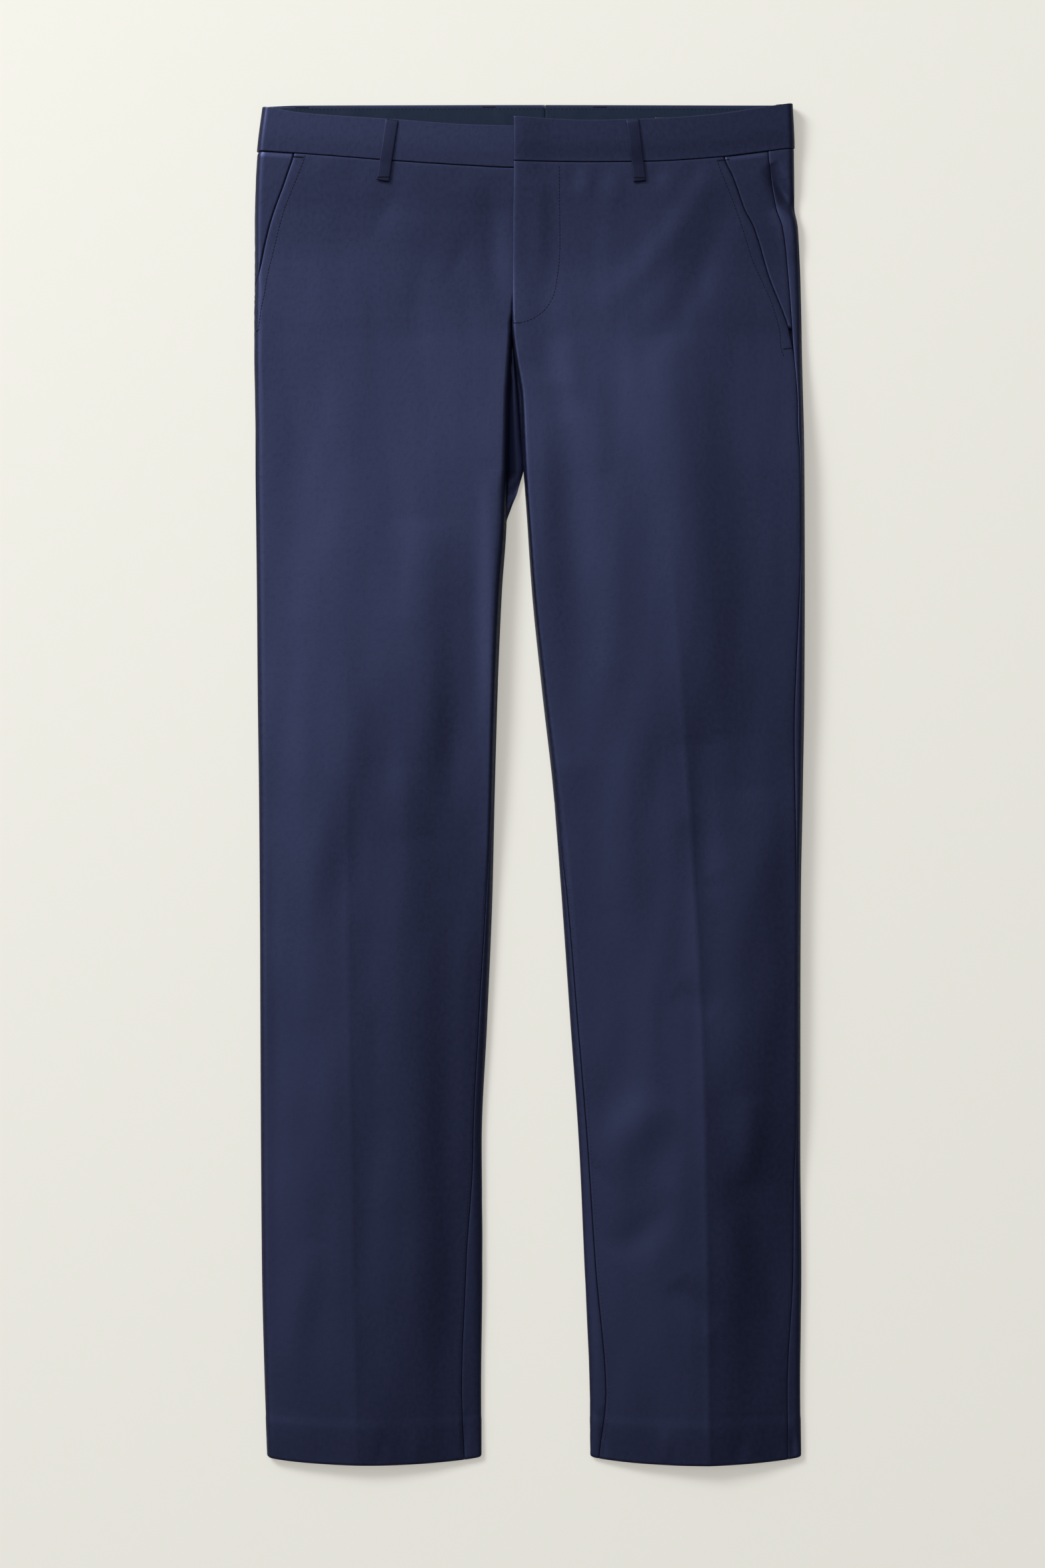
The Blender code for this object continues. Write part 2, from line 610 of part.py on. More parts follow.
def pocket_rows(side):
    """Rows of points over the slant pocket's facing, from the side seam to behind its mouth."""
    rows = []
    stations = [station for station in PANEL_STATIONS if station <= POCKET_END]
    for station in [BAND_DEPTH, *stations]:
        ring = front_ring(side, station)
        covered = front_places(ring)[: POCKET_COLUMNS + 1]
        outseam, mouth = ring.seams()[1] + JOIN / 2, covered[0]
        places = np.concatenate([ring.spread(outseam, mouth, 4, narrow=(True, False)), covered[1:]])
        inward = POCKET_DROP * smooth((places - outseam) / max(mouth - outseam, 1.0))
        outer_points = ring.sample(places)
        points = ring.sample(places, inward)
        rows.append(to_space(points, panel_down(side, station, outer_points, places >= ring.fold)))
    return rows


def loop_rows(loop):
    """Rows of points along a belt loop, from the top edge of the band to below its seam."""
    side = next(side for side in SIDES if side.name == loop.side)
    rows = []
    for share in np.linspace(0, 1, 7):
        middle = loop.x + loop.lean * share
        x = middle + np.array([-0.5, 0.0, 0.5]) * LOOP_WIDTH
        top = (waist_line(side, loop.x) if loop.on_front else back_waist_line(loop.x))[0]
        down = top + LOOP_BELOW_TOP + LOOP_LENGTH * share
        if loop.on_front:
            station = BAND_DEPTH * min(share * LOOP_LENGTH / BAND_DEPTH, 1.0)
            outside = BAND_WALL / 2 + SEAM + LOOP_WALL / 2 + LOOP_BOW * math.sin(math.pi * share)
            z = front_height(side, x, station, -outside)
        else:
            z = np.full(3, LOOP_WALL / 2)
        rows.append(to_space(np.stack([x, z], axis=1), down))
    return rows


# Objects


def material(name):
    """The named finish as a Principled material."""
    found = bpy.data.materials.get(name)
    if found:
        return found
    colour, roughness, metallic = FINISHES[name]
    made = bpy.data.materials.new(name)
    made.use_nodes = True
    shader = made.node_tree.nodes["Principled BSDF"]
    shader.inputs["Base Color"].default_value = (*colour, 1.0)
    shader.inputs["Roughness"].default_value = roughness
    shader.inputs["Metallic"].default_value = metallic
    made.diffuse_color = (*colour, 1.0)
    return made


def add_object(name, data, finish, collection, parent):
    """Puts a mesh or curve in the garment's collection under its empty."""
    data.materials.append(material(finish))
    made = bpy.data.objects.new(name, data)
    collection.objects.link(made)
    made.parent = parent
    return made


def sheet(name, rows, wall, finish, collection, parent, ring=False):
    """A cloth wall whose middle surface runs through the rows of points, closed into a tube for a ring."""
    across, down = len(rows[0]), len(rows)
    mesh = bpy.data.meshes.new(name)
    grid = bmesh.new()
    bmesh.ops.create_grid(grid, x_segments=across - 1, y_segments=down - 1, size=1.0)
    grid.verts.ensure_lookup_table()
    for vertex, place in zip(grid.verts, np.vstack(rows)):
        vertex.co = place
    if ring:
        last = [grid.verts[row * across + across - 1] for row in range(down)]
        first = [grid.verts[row * across] for row in range(down)]
        edges = []
        for line in (first, last):
            edges += [grid.edges.get(pair) for pair in zip(line, line[1:])]
        bmesh.ops.bridge_loops(grid, edges=edges)
    bmesh.ops.recalc_face_normals(grid, faces=grid.faces)
    grid.to_mesh(mesh)
    grid.free()
    mesh.shade_smooth()
    made = add_object(name, mesh, finish, collection, parent)
    shell = made.modifiers.new("wall", "SOLIDIFY")
    shell.thickness = wall * MM
    shell.offset = 0.0
    shell.use_even_offset = True
    return made


def outline_plate(name, outline, thickness, finish, collection, parent):
    """A flat plate with this outline, given as (x, y) in millimetres about its own origin."""
    curve = bpy.data.curves.new(name, "CURVE")
    curve.dimensions = "2D"
    curve.fill_mode = "BOTH"
    curve.extrude = thickness * MM / 2
    spline = curve.splines.new("POLY")
    spline.points.add(len(outline) - 1)
    for point, (x, y) in zip(spline.points, outline):
        point.co = (x * MM, y * MM, 0.0, 1.0)
    spline.use_cyclic_u = True
    return add_object(name, curve, finish, collection, parent)


def stepped_strip():
    """Outline of the hook from its side: a strip bent down from its plate to its tongue."""
    high, metal, half = HOOK.step, HOOK.metal, HOOK.metal / 2
    bend = HOOK.overlap - 2 * metal
    return [
        (0.0, high), (bend, high), (HOOK.overlap, 0.0), (HOOK.reach, 0.0), (HOOK.reach, metal),
        (HOOK.overlap + half, metal), (bend + half, high + metal), (0.0, high + metal),
    ]  # fmt: skip


def bridged_strip():
    """Outline of the bar from its side: a strip with two feet and a raised middle as wide as the hook."""
    span = HOOK.width / 2 + HOOK_CLEAR + HOOK.metal
    foot, metal, step = span + HOOK.foot, HOOK.metal, HOOK.step
    bend, over = metal * 1.5, metal / 2
    below = [(span, step), (span + metal, 0.0), (foot, 0.0)]
    above = [(foot, metal), (span + bend, metal), (span + over, step + metal)]
    right = below + above
    return [(-x, y) for x, y in reversed(below)] + right + [(-x, y) for x, y in reversed(above)]


def add_hook(collection, parent):
    """The hook behind the left band's end and the bar on the right band's tongue, fastened."""
    drop = BAND_WALL / 2 + SEAM + HOOK.step + HOOK.metal + HOOK_CLEAR
    high = front_height(SIDES[1], HOOK.x, BAND_DEPTH, drop)
    y = LENGTH / 2 - HOOK.down
    hook = outline_plate("waist_hook", stepped_strip(), HOOK.width, "nickel", collection, parent)
    hook.location = (HOOK.x * MM, y * MM, high * MM)
    hook.rotation_euler = (math.pi / 2, 0, 0)
    bar = outline_plate("waist_bar", bridged_strip(), HOOK.bar_width, "nickel", collection, parent)
    bar.location = (HOOK.bar_x * MM, y * MM, high * MM)
    bar.rotation_euler = (math.pi / 2, 0, math.pi / 2)


def add_slider(collection, parent):
    """The zip's slider with its pull tab, lying flat behind the fly."""
    body, tab, neck, length = SLIDER.half_body, SLIDER.half_tab, SLIDER.neck, SLIDER.length
    right = [(tab / 2, -length), (tab, 1.5 - length), (tab, -neck), (tab + 0.4, 1 - neck), (body, 0)]
    left = [(-x, y) for x, y in reversed(right)]
    slider = outline_plate("zip_slider", left + right, SLIDER.metal, "nickel", collection, parent)
    below = CLOTH / 2 + SEAM + FACING_WALL + SEAM + SLIDER.metal / 2 + 0.1
    z = front_height(SIDES[1], SLIDER.x, SLIDER.down, below)
    slider.location = (SLIDER.x * MM, (LENGTH / 2 - SLIDER.down) * MM, z * MM)


def clear_scene():
    """Removes what a new file starts with."""
    for old in list(bpy.data.objects):
        bpy.data.objects.remove(old, do_unlink=True)


def main():
    """Builds every piece of the garment in its own collection."""
    clear_scene()
    collection = bpy.data.collections.new("dress_trousers")
    bpy.context.scene.collection.children.link(collection)
    parent = bpy.data.objects.new("trousers", None)
    collection.objects.link(parent)
    where = (collection, parent)
    for side in SIDES:
        sheet(f"front_{side.name}", front_rows(side), CLOTH, "wool_cloth", *where)
        sheet(f"back_{side.name}", back_rows(side), CLOTH, "wool_cloth", *where)
        sheet(f"hem_{side.name}", hem_rows(side), HEM_WALL, "wool_cloth", *where, ring=True)
        sheet(f"pocket_facing_{side.name}", pocket_rows(side), CLOTH, "wool_cloth", *where)
        sheet(f"waistband_{side.name}", band_rows(side), BAND_WALL, "wool_cloth", *where)
        sheet(f"waist_lining_{side.name}", lining_rows(side), THIN_WALL, "band_lining", *where)
    sheet("fly_facing", facing_rows(), FACING_WALL, "wool_cloth", *where)
    sheet("zip_tape", zip_rows(), THIN_WALL, "zip_cotton", *where)
    sheet("label", label_rows(), LABEL_WALL, "label_satin", *where)
    for loop in LOOPS:
        sheet(loop.name, loop_rows(loop), LOOP_WALL, "wool_cloth", *where)
    add_slider(*where)
    add_hook(*where)


main()
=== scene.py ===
"""Looks of a pair of pressed dress trousers that lie on their back with the fly up.

Lengths are millimetres until a mesh is made. X runs toward the wearer's left and Z up from the surface.
`down` is the distance from the top edge of the back waistband toward the hems, so Y runs the other way.
"""

import logging
import math
from dataclasses import dataclass, replace
from enum import Enum
from typing import Callable, NamedTuple, Sequence

import bmesh
import bpy
import numpy as np
from mathutils import Matrix, Vector, noise
from mathutils.bvhtree import BVHTree


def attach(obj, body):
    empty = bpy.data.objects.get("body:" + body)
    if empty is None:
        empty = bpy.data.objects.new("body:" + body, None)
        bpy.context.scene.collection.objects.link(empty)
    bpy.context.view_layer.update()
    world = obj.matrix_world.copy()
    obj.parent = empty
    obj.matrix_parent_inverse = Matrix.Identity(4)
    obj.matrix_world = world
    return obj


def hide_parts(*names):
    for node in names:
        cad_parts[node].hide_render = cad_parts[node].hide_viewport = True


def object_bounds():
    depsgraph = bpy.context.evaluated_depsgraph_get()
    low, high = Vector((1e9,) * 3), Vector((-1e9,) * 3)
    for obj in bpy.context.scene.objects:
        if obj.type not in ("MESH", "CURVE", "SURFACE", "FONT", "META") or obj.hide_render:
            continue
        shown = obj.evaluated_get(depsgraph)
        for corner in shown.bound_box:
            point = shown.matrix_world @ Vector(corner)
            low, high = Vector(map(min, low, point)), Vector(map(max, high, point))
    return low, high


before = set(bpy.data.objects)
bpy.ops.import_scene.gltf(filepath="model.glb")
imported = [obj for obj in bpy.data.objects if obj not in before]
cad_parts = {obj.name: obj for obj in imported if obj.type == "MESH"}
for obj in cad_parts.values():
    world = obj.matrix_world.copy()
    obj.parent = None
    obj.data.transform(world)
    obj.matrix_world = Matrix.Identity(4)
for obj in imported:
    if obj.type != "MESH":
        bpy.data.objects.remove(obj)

LOG = logging.getLogger("trousers")
Points = np.ndarray
MM = 0.001
CAD_LOW, CAD_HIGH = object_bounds()
TOP = CAD_HIGH.y / MM  # Y of the back waistband's top edge
LENGTH = (CAD_HIGH.y - CAD_LOW.y) / MM

CLOTH, SHELL, BAND_WALL, LOOP_WALL, THIN_WALL, LABEL_WALL = 1.2, 0.8, 2.0, 1.4, 0.8, 0.5  # thicknesses
SEAM, JOIN, CROTCH_JOIN, JOIN_RUN = 0.3, 0.4, 1.0, 30.0  # gaps between pieces that are sewn together
BAND_DEPTH, CROTCH, CROTCH_CLOSE = 36.0, 300.0, 18.0  # the last is how soon the legs close below the crotch
CENTRE_BACK_WAIST, CENTRE_BACK_CROTCH = 12.8, -4.9  # X of the centre-back seam
HEM_TURN, HEM_INWARD, HEM_WALL = 34.0, 1.95, 1.0  # the turn-up's height, how far in it lies and its wall
HEM_BOW, UNDER_HEM_BOW, HEM_BLEND, HEM_SHAPE = 6.5, 2.5, 2.5 * HEM_TURN, 0.6  # how the hem's line bows
WAIST_BLEND = 80.0  # how soon the rows are level below the band
FLY_END, FLY_SEAM, FLY_EDGE = 170.0, 176.0, -13.0
FLY_TUCK, TUCK_FADE = 8.0, 120.0  # how far the right front runs on behind the fly
FLY_WIDTH, FLY_DEPTH, FLY_FADE, FLY_CLEAR = 37.5, 128.0, 14.0, 2.0
BAND_REACH, HIDDEN_DROP, HIDDEN_RUN = 32.0, 3.0, 12.0  # the right band's end, behind the left one
POCKET_END, POCKET_DROP = 186.0, SHELL + 0.2
LINING_TOP, LINING_BOTTOM, LINING_SIDE = 1.8, 1.0, 14.0
LOOP_WIDTH, LOOP_LENGTH, LOOP_BELOW_TOP = 10.0, 49.0, 0.8

ARC, FLAT_STEPS, CORNER, WRAP = 181, 40, 12, 60  # points on each stretch of a ring
NARROW = (0.5, 1.2, 2.4)  # widths at which columns lie beside a seam
END_ROWS, CLOSE_STEP = 16, 0.5  # fine rows at each end of a panel, and the first step below the crotch
INNER_REACH = 60.0  # how far from the inner end its inset is looked for
OUTER_ROLL = 4.5  # how far from its outer fold a layer is level
WEB_SPAN, GROOVE = 6.0, 0.45  # width of the full deep fold between the legs, and how high its lips are
DITCH_WIDTH = 0.8  # how soon cloth is level again beside a seam
FOLD_TAPER = 0.8  # how bluntly a fold ends, where 1 is a plain sine
FRACTAL = (0.6, 2.0, 2)  # fractal dimension, lacunarity and octaves of the swells
WIDE_SWELL, FINE_SWELL, FINE_SHARE = (52.0, 150.0, 3.0), (26.0, 90.0, 7.0), 0.12  # sizes and seed
CALM_ABOVE, CALM_BY_FLY, CALM_BELOW, CALM_RUN = 0.25, 0.15, 30.0, 24.0  # where the swells are fainter
CLOSING = (CROTCH, CROTCH + CROTCH_CLOSE, 340.0)  # rows between which the crotch closes into two legs
LANDMARKS = (0, 18, BAND_DEPTH, 56, 86, 116, 138, 150, 163, FLY_END, FLY_SEAM, 186, 210, 240, 270, *CLOSING,
             400, 480, 560, 650, 750, 850, 950, 1050, LENGTH)  # rows at which seams are placed
UV_NAME = "cloth"


class Half(Enum):
    """The wearer's two sides, by the sign of X that leads out of the garment."""

    RIGHT = -1
    LEFT = 1

    @property
    def label(self) -> str:
        """The side's name in the names of its pieces."""
        return self.name.lower()


class Facing(Enum):
    """Where a row of stitches shows."""

    FRONT = 1
    BACK = -1


class Section(NamedTuple):
    """Heights at one station: of the underside, and of the folds' widest points."""

    down: float
    lift: float
    edge: float


SECTIONS = (
    Section(0, 2.0, 6.4),
    Section(56, 2.0, 6.4),
    Section(100, 0.0, 4.8),
    Section(140, 0.0, 4.6),
    Section(184, 0.0, 4.4),
    Section(240, 0.0, 4.0),
    Section(400, 0.0, 3.8),
    Section(LENGTH, 0.0, 3.8),
)


class Rise(NamedTuple):
    """Heights of one half's front at one station: near its outer fold, at the crease, near its inner edge and
    in the deep fold between the legs, then how wide the inner edge rolls over."""

    down: float
    outer: float
    middle: float
    inner: float
    web: float
    roll: float


RIGHT_RISES = (
    Rise(0, 13.0, 13.2, 12.5, 12.5, 1.5),
    Rise(36, 13.2, 13.6, 12.8, 12.8, 1.5),
    Rise(100, 12.8, 13.7, 13.2, 13.0, 1.5),
    Rise(125, 12.5, 13.8, 13.4, 12.6, 2.0),
    Rise(150, 12.4, 13.9, 13.6, 12.2, 3.0),
    Rise(170, 12.4, 14.0, 13.8, 11.6, 3.5),
    Rise(176, 12.3, 14.1, 14.0, 11.2, 3.5),
    Rise(186, 12.2, 14.1, 14.4, 9.5, 3.5),
    Rise(205, 11.8, 14.3, 15.6, 4.6, 3.5),
    Rise(240, 10.8, 14.6, 17.6, 2.7, 3.5),
    Rise(300, 9.8, 15.2, 20.6, 2.5, 4.0),
    Rise(370, 9.0, 16.4, 21.8, 2.5, 4.5),
    Rise(450, 8.8, 16.8, 21.0, 2.5, 5.0),
    Rise(540, 8.8, 17.2, 17.6, 2.5, 5.0),
    Rise(650, 8.8, 15.8, 13.0, 2.5, 6.0),
    Rise(780, 8.8, 15.4, 9.6, 2.5, 7.0),
    Rise(900, 8.8, 15.4, 7.2, 2.5, 8.0),
    Rise(1020, 8.6, 15.0, 5.4, 2.5, 8.0),
    Rise(LENGTH, 7.6, 13.6, 5.0, 2.5, 7.0),
)
LEFT_RISES = (
    Rise(0, 11.0, 13.2, 14.3, 14.9, 1.5),
    Rise(36, 11.0, 13.5, 14.6, 14.9, 1.5),
    Rise(100, 10.2, 14.6, 14.6, 14.8, 1.5),
    Rise(170, 9.6, 16.0, 14.2, 13.2, 1.5),
    Rise(176, 9.6, 16.1, 14.2, 12.2, 1.8),
    Rise(186, 9.7, 16.5, 14.2, 9.5, 1.8),
    Rise(205, 11.2, 17.6, 14.4, 4.6, 2.2),
    Rise(240, 15.0, 19.6, 14.8, 2.7, 2.4),
    Rise(300, 20.0, 21.5, 16.6, 2.5, 2.8),
    Rise(370, 21.0, 21.9, 17.0, 2.5, 3.4),
    Rise(450, 20.4, 21.5, 14.6, 2.5, 4.5),
    Rise(540, 17.8, 19.8, 11.6, 2.5, 6.0),
    Rise(650, 16.6, 18.8, 9.4, 2.5, 10.0),
    Rise(780, 14.6, 18.6, 8.2, 2.5, 10.0),
    Rise(900, 7.6, 19.6, 6.6, 2.5, 9.0),
    Rise(1020, 6.0, 17.6, 7.0, 2.5, 9.0),
    Rise(LENGTH, 5.6, 14.8, 6.4, 2.5, 8.0),
)


class Outline(NamedTuple):
    """X of the outer fold, of the rolled inner edge, of the cloth's end and of the crease, then the insets
    of the inseam, the outseam and the pocket mouth from their fold, which are negative on the underside."""

    down: float
    outer: float
    inner: float
    end: float
    crease: float
    inseam: float
    outseam: float
    mouth: float


RIGHT_OUTLINE = (
    Outline(0, -217.5, -13.2, -13.2, -150, 0, -4, 32),
    Outline(36, -222.0, -13.2, -13.2, -150, 0, -4, 30),
    Outline(60, -223.5, -13.4, -13.4, -150, 0, -7, 24),
    Outline(100, -224.5, -13.8, -13.8, -150, 0, -9, 12),
    Outline(140, -224.5, -14.2, -14.2, -150, 0, -11, 3),
    Outline(178, -225.0, -14.4, -14.2, -150, 0, -10.5, -7),
    Outline(200, -225.0, -14.8, -13.2, -150, 0, -10, -10),
    Outline(240, -224.5, -17.3, -9.2, -150, 0, -9, -9),
    Outline(270, -224.0, -17.8, -7.2, -150, 0, -8.5, -8.5),
    Outline(300, -224.0, -18.3, -4.9, -150, 0, -8, -8),
    Outline(340, -223.5, -19.0, -19.0, -150, -0.1, -8, -8),
    Outline(400, -222.8, -23.0, -23.0, -149.8, -0.8, -8, -8),
    Outline(480, -222.2, -26.4, -26.4, -149.4, 0.1, -8, -8),
    Outline(560, -221.2, -28.7, -28.7, -148.7, 0.6, -7, -7),
    Outline(650, -220.6, -30.8, -30.8, -148.5, 4.5, -6.5, -6.5),
    Outline(750, -220.1, -35.0, -35.0, -147.4, 6.4, -6, -6),
    Outline(850, -219.6, -39.4, -39.4, -145.5, 6.6, -6, -6),
    Outline(950, -218.8, -38.8, -38.8, -144.2, 13.0, -6, -6),
    Outline(1050, -216.4, -39.9, -39.9, -141.8, 15.5, -6, -6),
    Outline(LENGTH, -214.2, -39.7, -39.7, -141.0, 13.6, -5, -5),
)
LEFT_OUTLINE = (
    Outline(0, 214.4, -13.0, -13.0, 94, 0, 21, 59),
    Outline(36, 216.0, -13.0, -13.0, 95, 0, 21, 57),
    Outline(60, 216.2, -13.2, -13.2, 96, 0, 18.5, 48),
    Outline(84, 216.4, -13.5, -13.5, 97, 0, 15.0, 41),
    Outline(100, 219.3, -13.6, -13.6, 98, 0, 12.5, 36),
    Outline(140, 221.3, -13.9, -13.9, 100, 0, 9.8, 26),
    Outline(178, 222.3, -13.9, -14.2, 103, 0, 8, 12.5),
    Outline(200, 222.6, -12.4, -13.2, 105, 0, 7, 7),
    Outline(240, 223.6, -6.6, -9.2, 108, 0, 5, 5),
    Outline(270, 224.3, -5.4, -7.2, 110, 0, 5.2, 5.2),
    Outline(300, 224.6, -4.2, -4.9, 112, 0, 3.8, 3.8),
    Outline(340, 224.8, -1.6, -1.6, 113.6, -0.1, 3.0, 3.0),
    Outline(400, 224.9, 2.5, 2.5, 118.5, -0.9, 5.0, 5.0),
    Outline(480, 224.6, 10.7, 10.7, 124, -0.9, 8.2, 8.2),
    Outline(560, 223.4, 19.7, 19.7, 129.5, -0.3, 7.0, 7.0),
    Outline(650, 221.8, 26.8, 26.8, 134.7, 4.2, 4.0, 4.0),
    Outline(750, 221.4, 33.8, 33.8, 140.2, 5.6, 3.1, 3.1),
    Outline(850, 221.4, 40.8, 40.8, 143.2, 6.7, 3.9, 3.9),
    Outline(950, 222.3, 45.4, 45.4, 144.8, 8.7, 6.7, 6.7),
    Outline(1050, 221.4, 49.5, 49.5, 146.1, 13.0, 10.5, 10.5),
    Outline(LENGTH, 222.0, 50.4, 50.4, 146.5, 6.5, 10.5, 10.5),
)


class WaistPoint(NamedTuple):
    """How far down the band's two edges lie at one X."""

    x: float
    top: float
    bottom: float


RIGHT_WAIST = (
    WaistPoint(-222.0, 2.4, 39.0),
    WaistPoint(-183.0, 8.5, 41.5),
    WaistPoint(-107.0, 13.7, 47.3),
    WaistPoint(-53.0, 17.5, 50.7),
    WaistPoint(-13.0, 18.6, 52.6),
    WaistPoint(BAND_REACH, 18.8, 53.0),
)
LEFT_WAIST = (
    WaistPoint(-13.0, 11.7, 47.4),
    WaistPoint(48.0, 14.5, 48.2),
    WaistPoint(98.0, 13.3, 47.6),
    WaistPoint(148.0, 9.8, 44.5),
    WaistPoint(190.0, 3.7, 39.5),
    WaistPoint(216.5, 0.0, 36.0),
)
BACK_WAIST = (
    WaistPoint(-222.0, 2.4, 39.0),
    WaistPoint(-212.0, 1.2, 39.0),
    WaistPoint(-190.0, 0.2, 38.8),
    WaistPoint(-100.0, -0.1, 38.2),
    WaistPoint(0.0, -0.3, 37.5),
    WaistPoint(100.0, -0.1, 36.8),
    WaistPoint(190.0, 0.1, 36.2),
    WaistPoint(216.5, 0.0, 36.0),
)


class Fold(NamedTuple):
    """A soft ridge, or a trough where its height is negative, from one place to another.

    bow bends its line sideways and a sharp one comes to an edge."""

    x_from: float
    down_from: float
    x_to: float
    down_to: float
    width: float
    height: float
    bow: float = 0.0
    sharp: bool = False


RIGHT_FOLDS = (
    Fold(-67, 395, -66, 650, 14, -1.1, 3),
    Fold(-31, 300, -28, 640, 9, 2.2, 0),
    Fold(-86, 340, -88, 600, 26, 2.4, 0),
    Fold(-94, 540, -90, 1120, 28, 3.2, 0),
    Fold(-92, 180, -104, 420, 22, -0.8, -4),
    Fold(-75, 760, -58, 1060, 20, -0.8, -6),
    Fold(-182, 500, -172, 900, 22, 0.9, 5),
    Fold(-176, 930, -196, 1066, 15, 0.9, -5),
    Fold(-128, 900, -118, 1090, 18, -0.5, 6),
    Fold(-60, 640, -52, 900, 12, 0.7, 4),
    Fold(-120, 92, -60, 128, 26, 0.8, 6),
    Fold(-30, 60, -27, 168, 10, -0.7, -2),
    Fold(-196, 200, -188, 420, 16, -0.7, 4),
    Fold(-95, 190, -88, 390, 18, 0.7, -5),
    Fold(-212, 560, -209, 1010, 7, -0.5, 2),
)
LEFT_FOLDS = (
    Fold(196, 50, 224, 92, 6, -3.4, -3),
    Fold(204, 84, 222, 124, 9, 1.8, 2),
    Fold(188, 820, 185, 1060, 18, -1.6, 4),
    Fold(180, 560, 184, 880, 28, 3.0, -2),
    Fold(146, 640, 152, 820, 22, 1.1),
    Fold(180, 810, 172, 885, 12, 1.4, 4),
    Fold(164, 900, 186, 990, 13, 1.0, -6),
    Fold(56, 872, 116, 812, 20, 1.3, 6),
    Fold(66, 940, 120, 890, 14, -0.9, -5),
    Fold(128, 586, 152, 626, 13, -0.5, 3),
    Fold(120, 722, 150, 744, 12, -0.5, 2),
    Fold(118, 962, 150, 1000, 12, -1.0, 3),
    Fold(112, 190, 144, 520, 29, 3.1, 4),
    Fold(26, 230, 40, 540, 20, -2.4, 4),
    Fold(78, 480, 70, 660, 16, 0.7, 6),
    Fold(166, 62, 92, 214, 13, -0.7, 10),
    Fold(150, 52, 60, 168, 12, 0.7, 8),
    Fold(30, 190, 66, 300, 16, 0.5, -5),
    Fold(12, 186, 30, 260, 10, -0.4, -3),
    Fold(-5, 200, 26, 640, 12, -1.0, -7),
    Fold(8, 60, 9, 150, 8, 0.5),
    Fold(-12, -60, -12, 215, 22, 1.5),
)
DRAGS = (
    Fold(36, 49, 33, 72, 6, -0.21, 1),
    Fold(47, 49, 45, 82, 6, 0.21, 1),
    Fold(58, 50, 55, 76, 6, -0.17, 1),
    Fold(71, 50, 66, 88, 7.5, 0.21, 2),
    Fold(104, 48, 100, 70, 6, -0.21, 1),
    Fold(118, 48, 108, 84, 7.5, 0.21, 2),
    Fold(137, 46, 128, 72, 6, -0.21, 2),
    Fold(-60, 52, -58, 70, 7.5, -0.13, 1),
    Fold(-96, 50, -92, 76, 7.5, 0.15, -1),
    Fold(-140, 46, -143, 74, 7.5, -0.15, -2),
    Fold(-168, 44, -170, 66, 7.5, 0.13, -1),
    Fold(58, 1066, 61, 1109, 3.5, -0.9, 1),
    Fold(213, 1084, 216, 1108, 3.5, -1.0, 1),
    Fold(-53, 1070, -54, 1108, 3.0, -0.7, 1),
    Fold(-94, 1084, -92, 1110, 5, 0.4, 1),
    Fold(-120, 1082, -122, 1111, 5, -0.4, 1),
    Fold(110, 1082, 112, 1111, 5, 0.5, 1),
    Fold(172, 1084, 170, 1110, 6, -0.5, 1),
)
UNDER_FOLDS = (
    Fold(60, 120, 150, 210, 14, -1.2, 8),
    Fold(-70, 130, -160, 230, 14, -1.1, -8),
    Fold(30, 250, 120, 330, 16, -1.4, 8),
    Fold(-36, 260, -130, 345, 16, -1.3, -8),
    Fold(128, 430, 140, 1080, 5, -0.5, 0, True),
    Fold(-136, 430, -128, 1080, 5, -0.5, 0, True),
    Fold(60, 500, 110, 560, 14, -1.0, 5),
    Fold(-70, 520, -130, 590, 14, -1.1, -5),
    Fold(170, 640, 110, 720, 16, -0.9, 6),
    Fold(-180, 700, -100, 770, 16, -0.9, 6),
    Fold(90, 880, 160, 930, 14, -0.8, 4),
    Fold(-90, 900, -170, 960, 14, -0.8, -4),
)
LINING_FOLDS = (
    Fold(-29, 3, -17, 20, 2.5, 0.7, 1),
    Fold(-150, 2, -140, 18, 7, 0.4, 1),
    Fold(60, 2, 66, 20, 6, 0.4, -1),
)


class Tilt(NamedTuple):
    """How the cloth is raised along the length of one half's front, which turns it to or from the light."""

    down: float
    right: float
    left: float


TILTS = (
    Tilt(0, 3.5, 5.2),
    Tilt(20, 2.7, 3.4),
    Tilt(36, 1.6, 1.5),
    Tilt(60, 0.0, 0.4),
    Tilt(90, -1.9, -1.1),
    Tilt(130, -3.2, -2.3),
    Tilt(180, -3.2, -0.7),
    Tilt(270, -2.6, 0.2),
    Tilt(700, -1.0, 0.0),
    Tilt(LENGTH - HEM_TURN, 0.0, 0.0),
    Tilt(LENGTH, -1.0, -1.2),
)


def ease(share: Points | float) -> Points:
    """A smooth step from 0 to 1.

    Args:
        share: How far along the step, where less than 0 is before it and more than 1 past it.

    Returns:
        The eased share.
    """
    share = np.clip(share, 0.0, 1.0)
    return share * share * (3.0 - 2.0 * share)


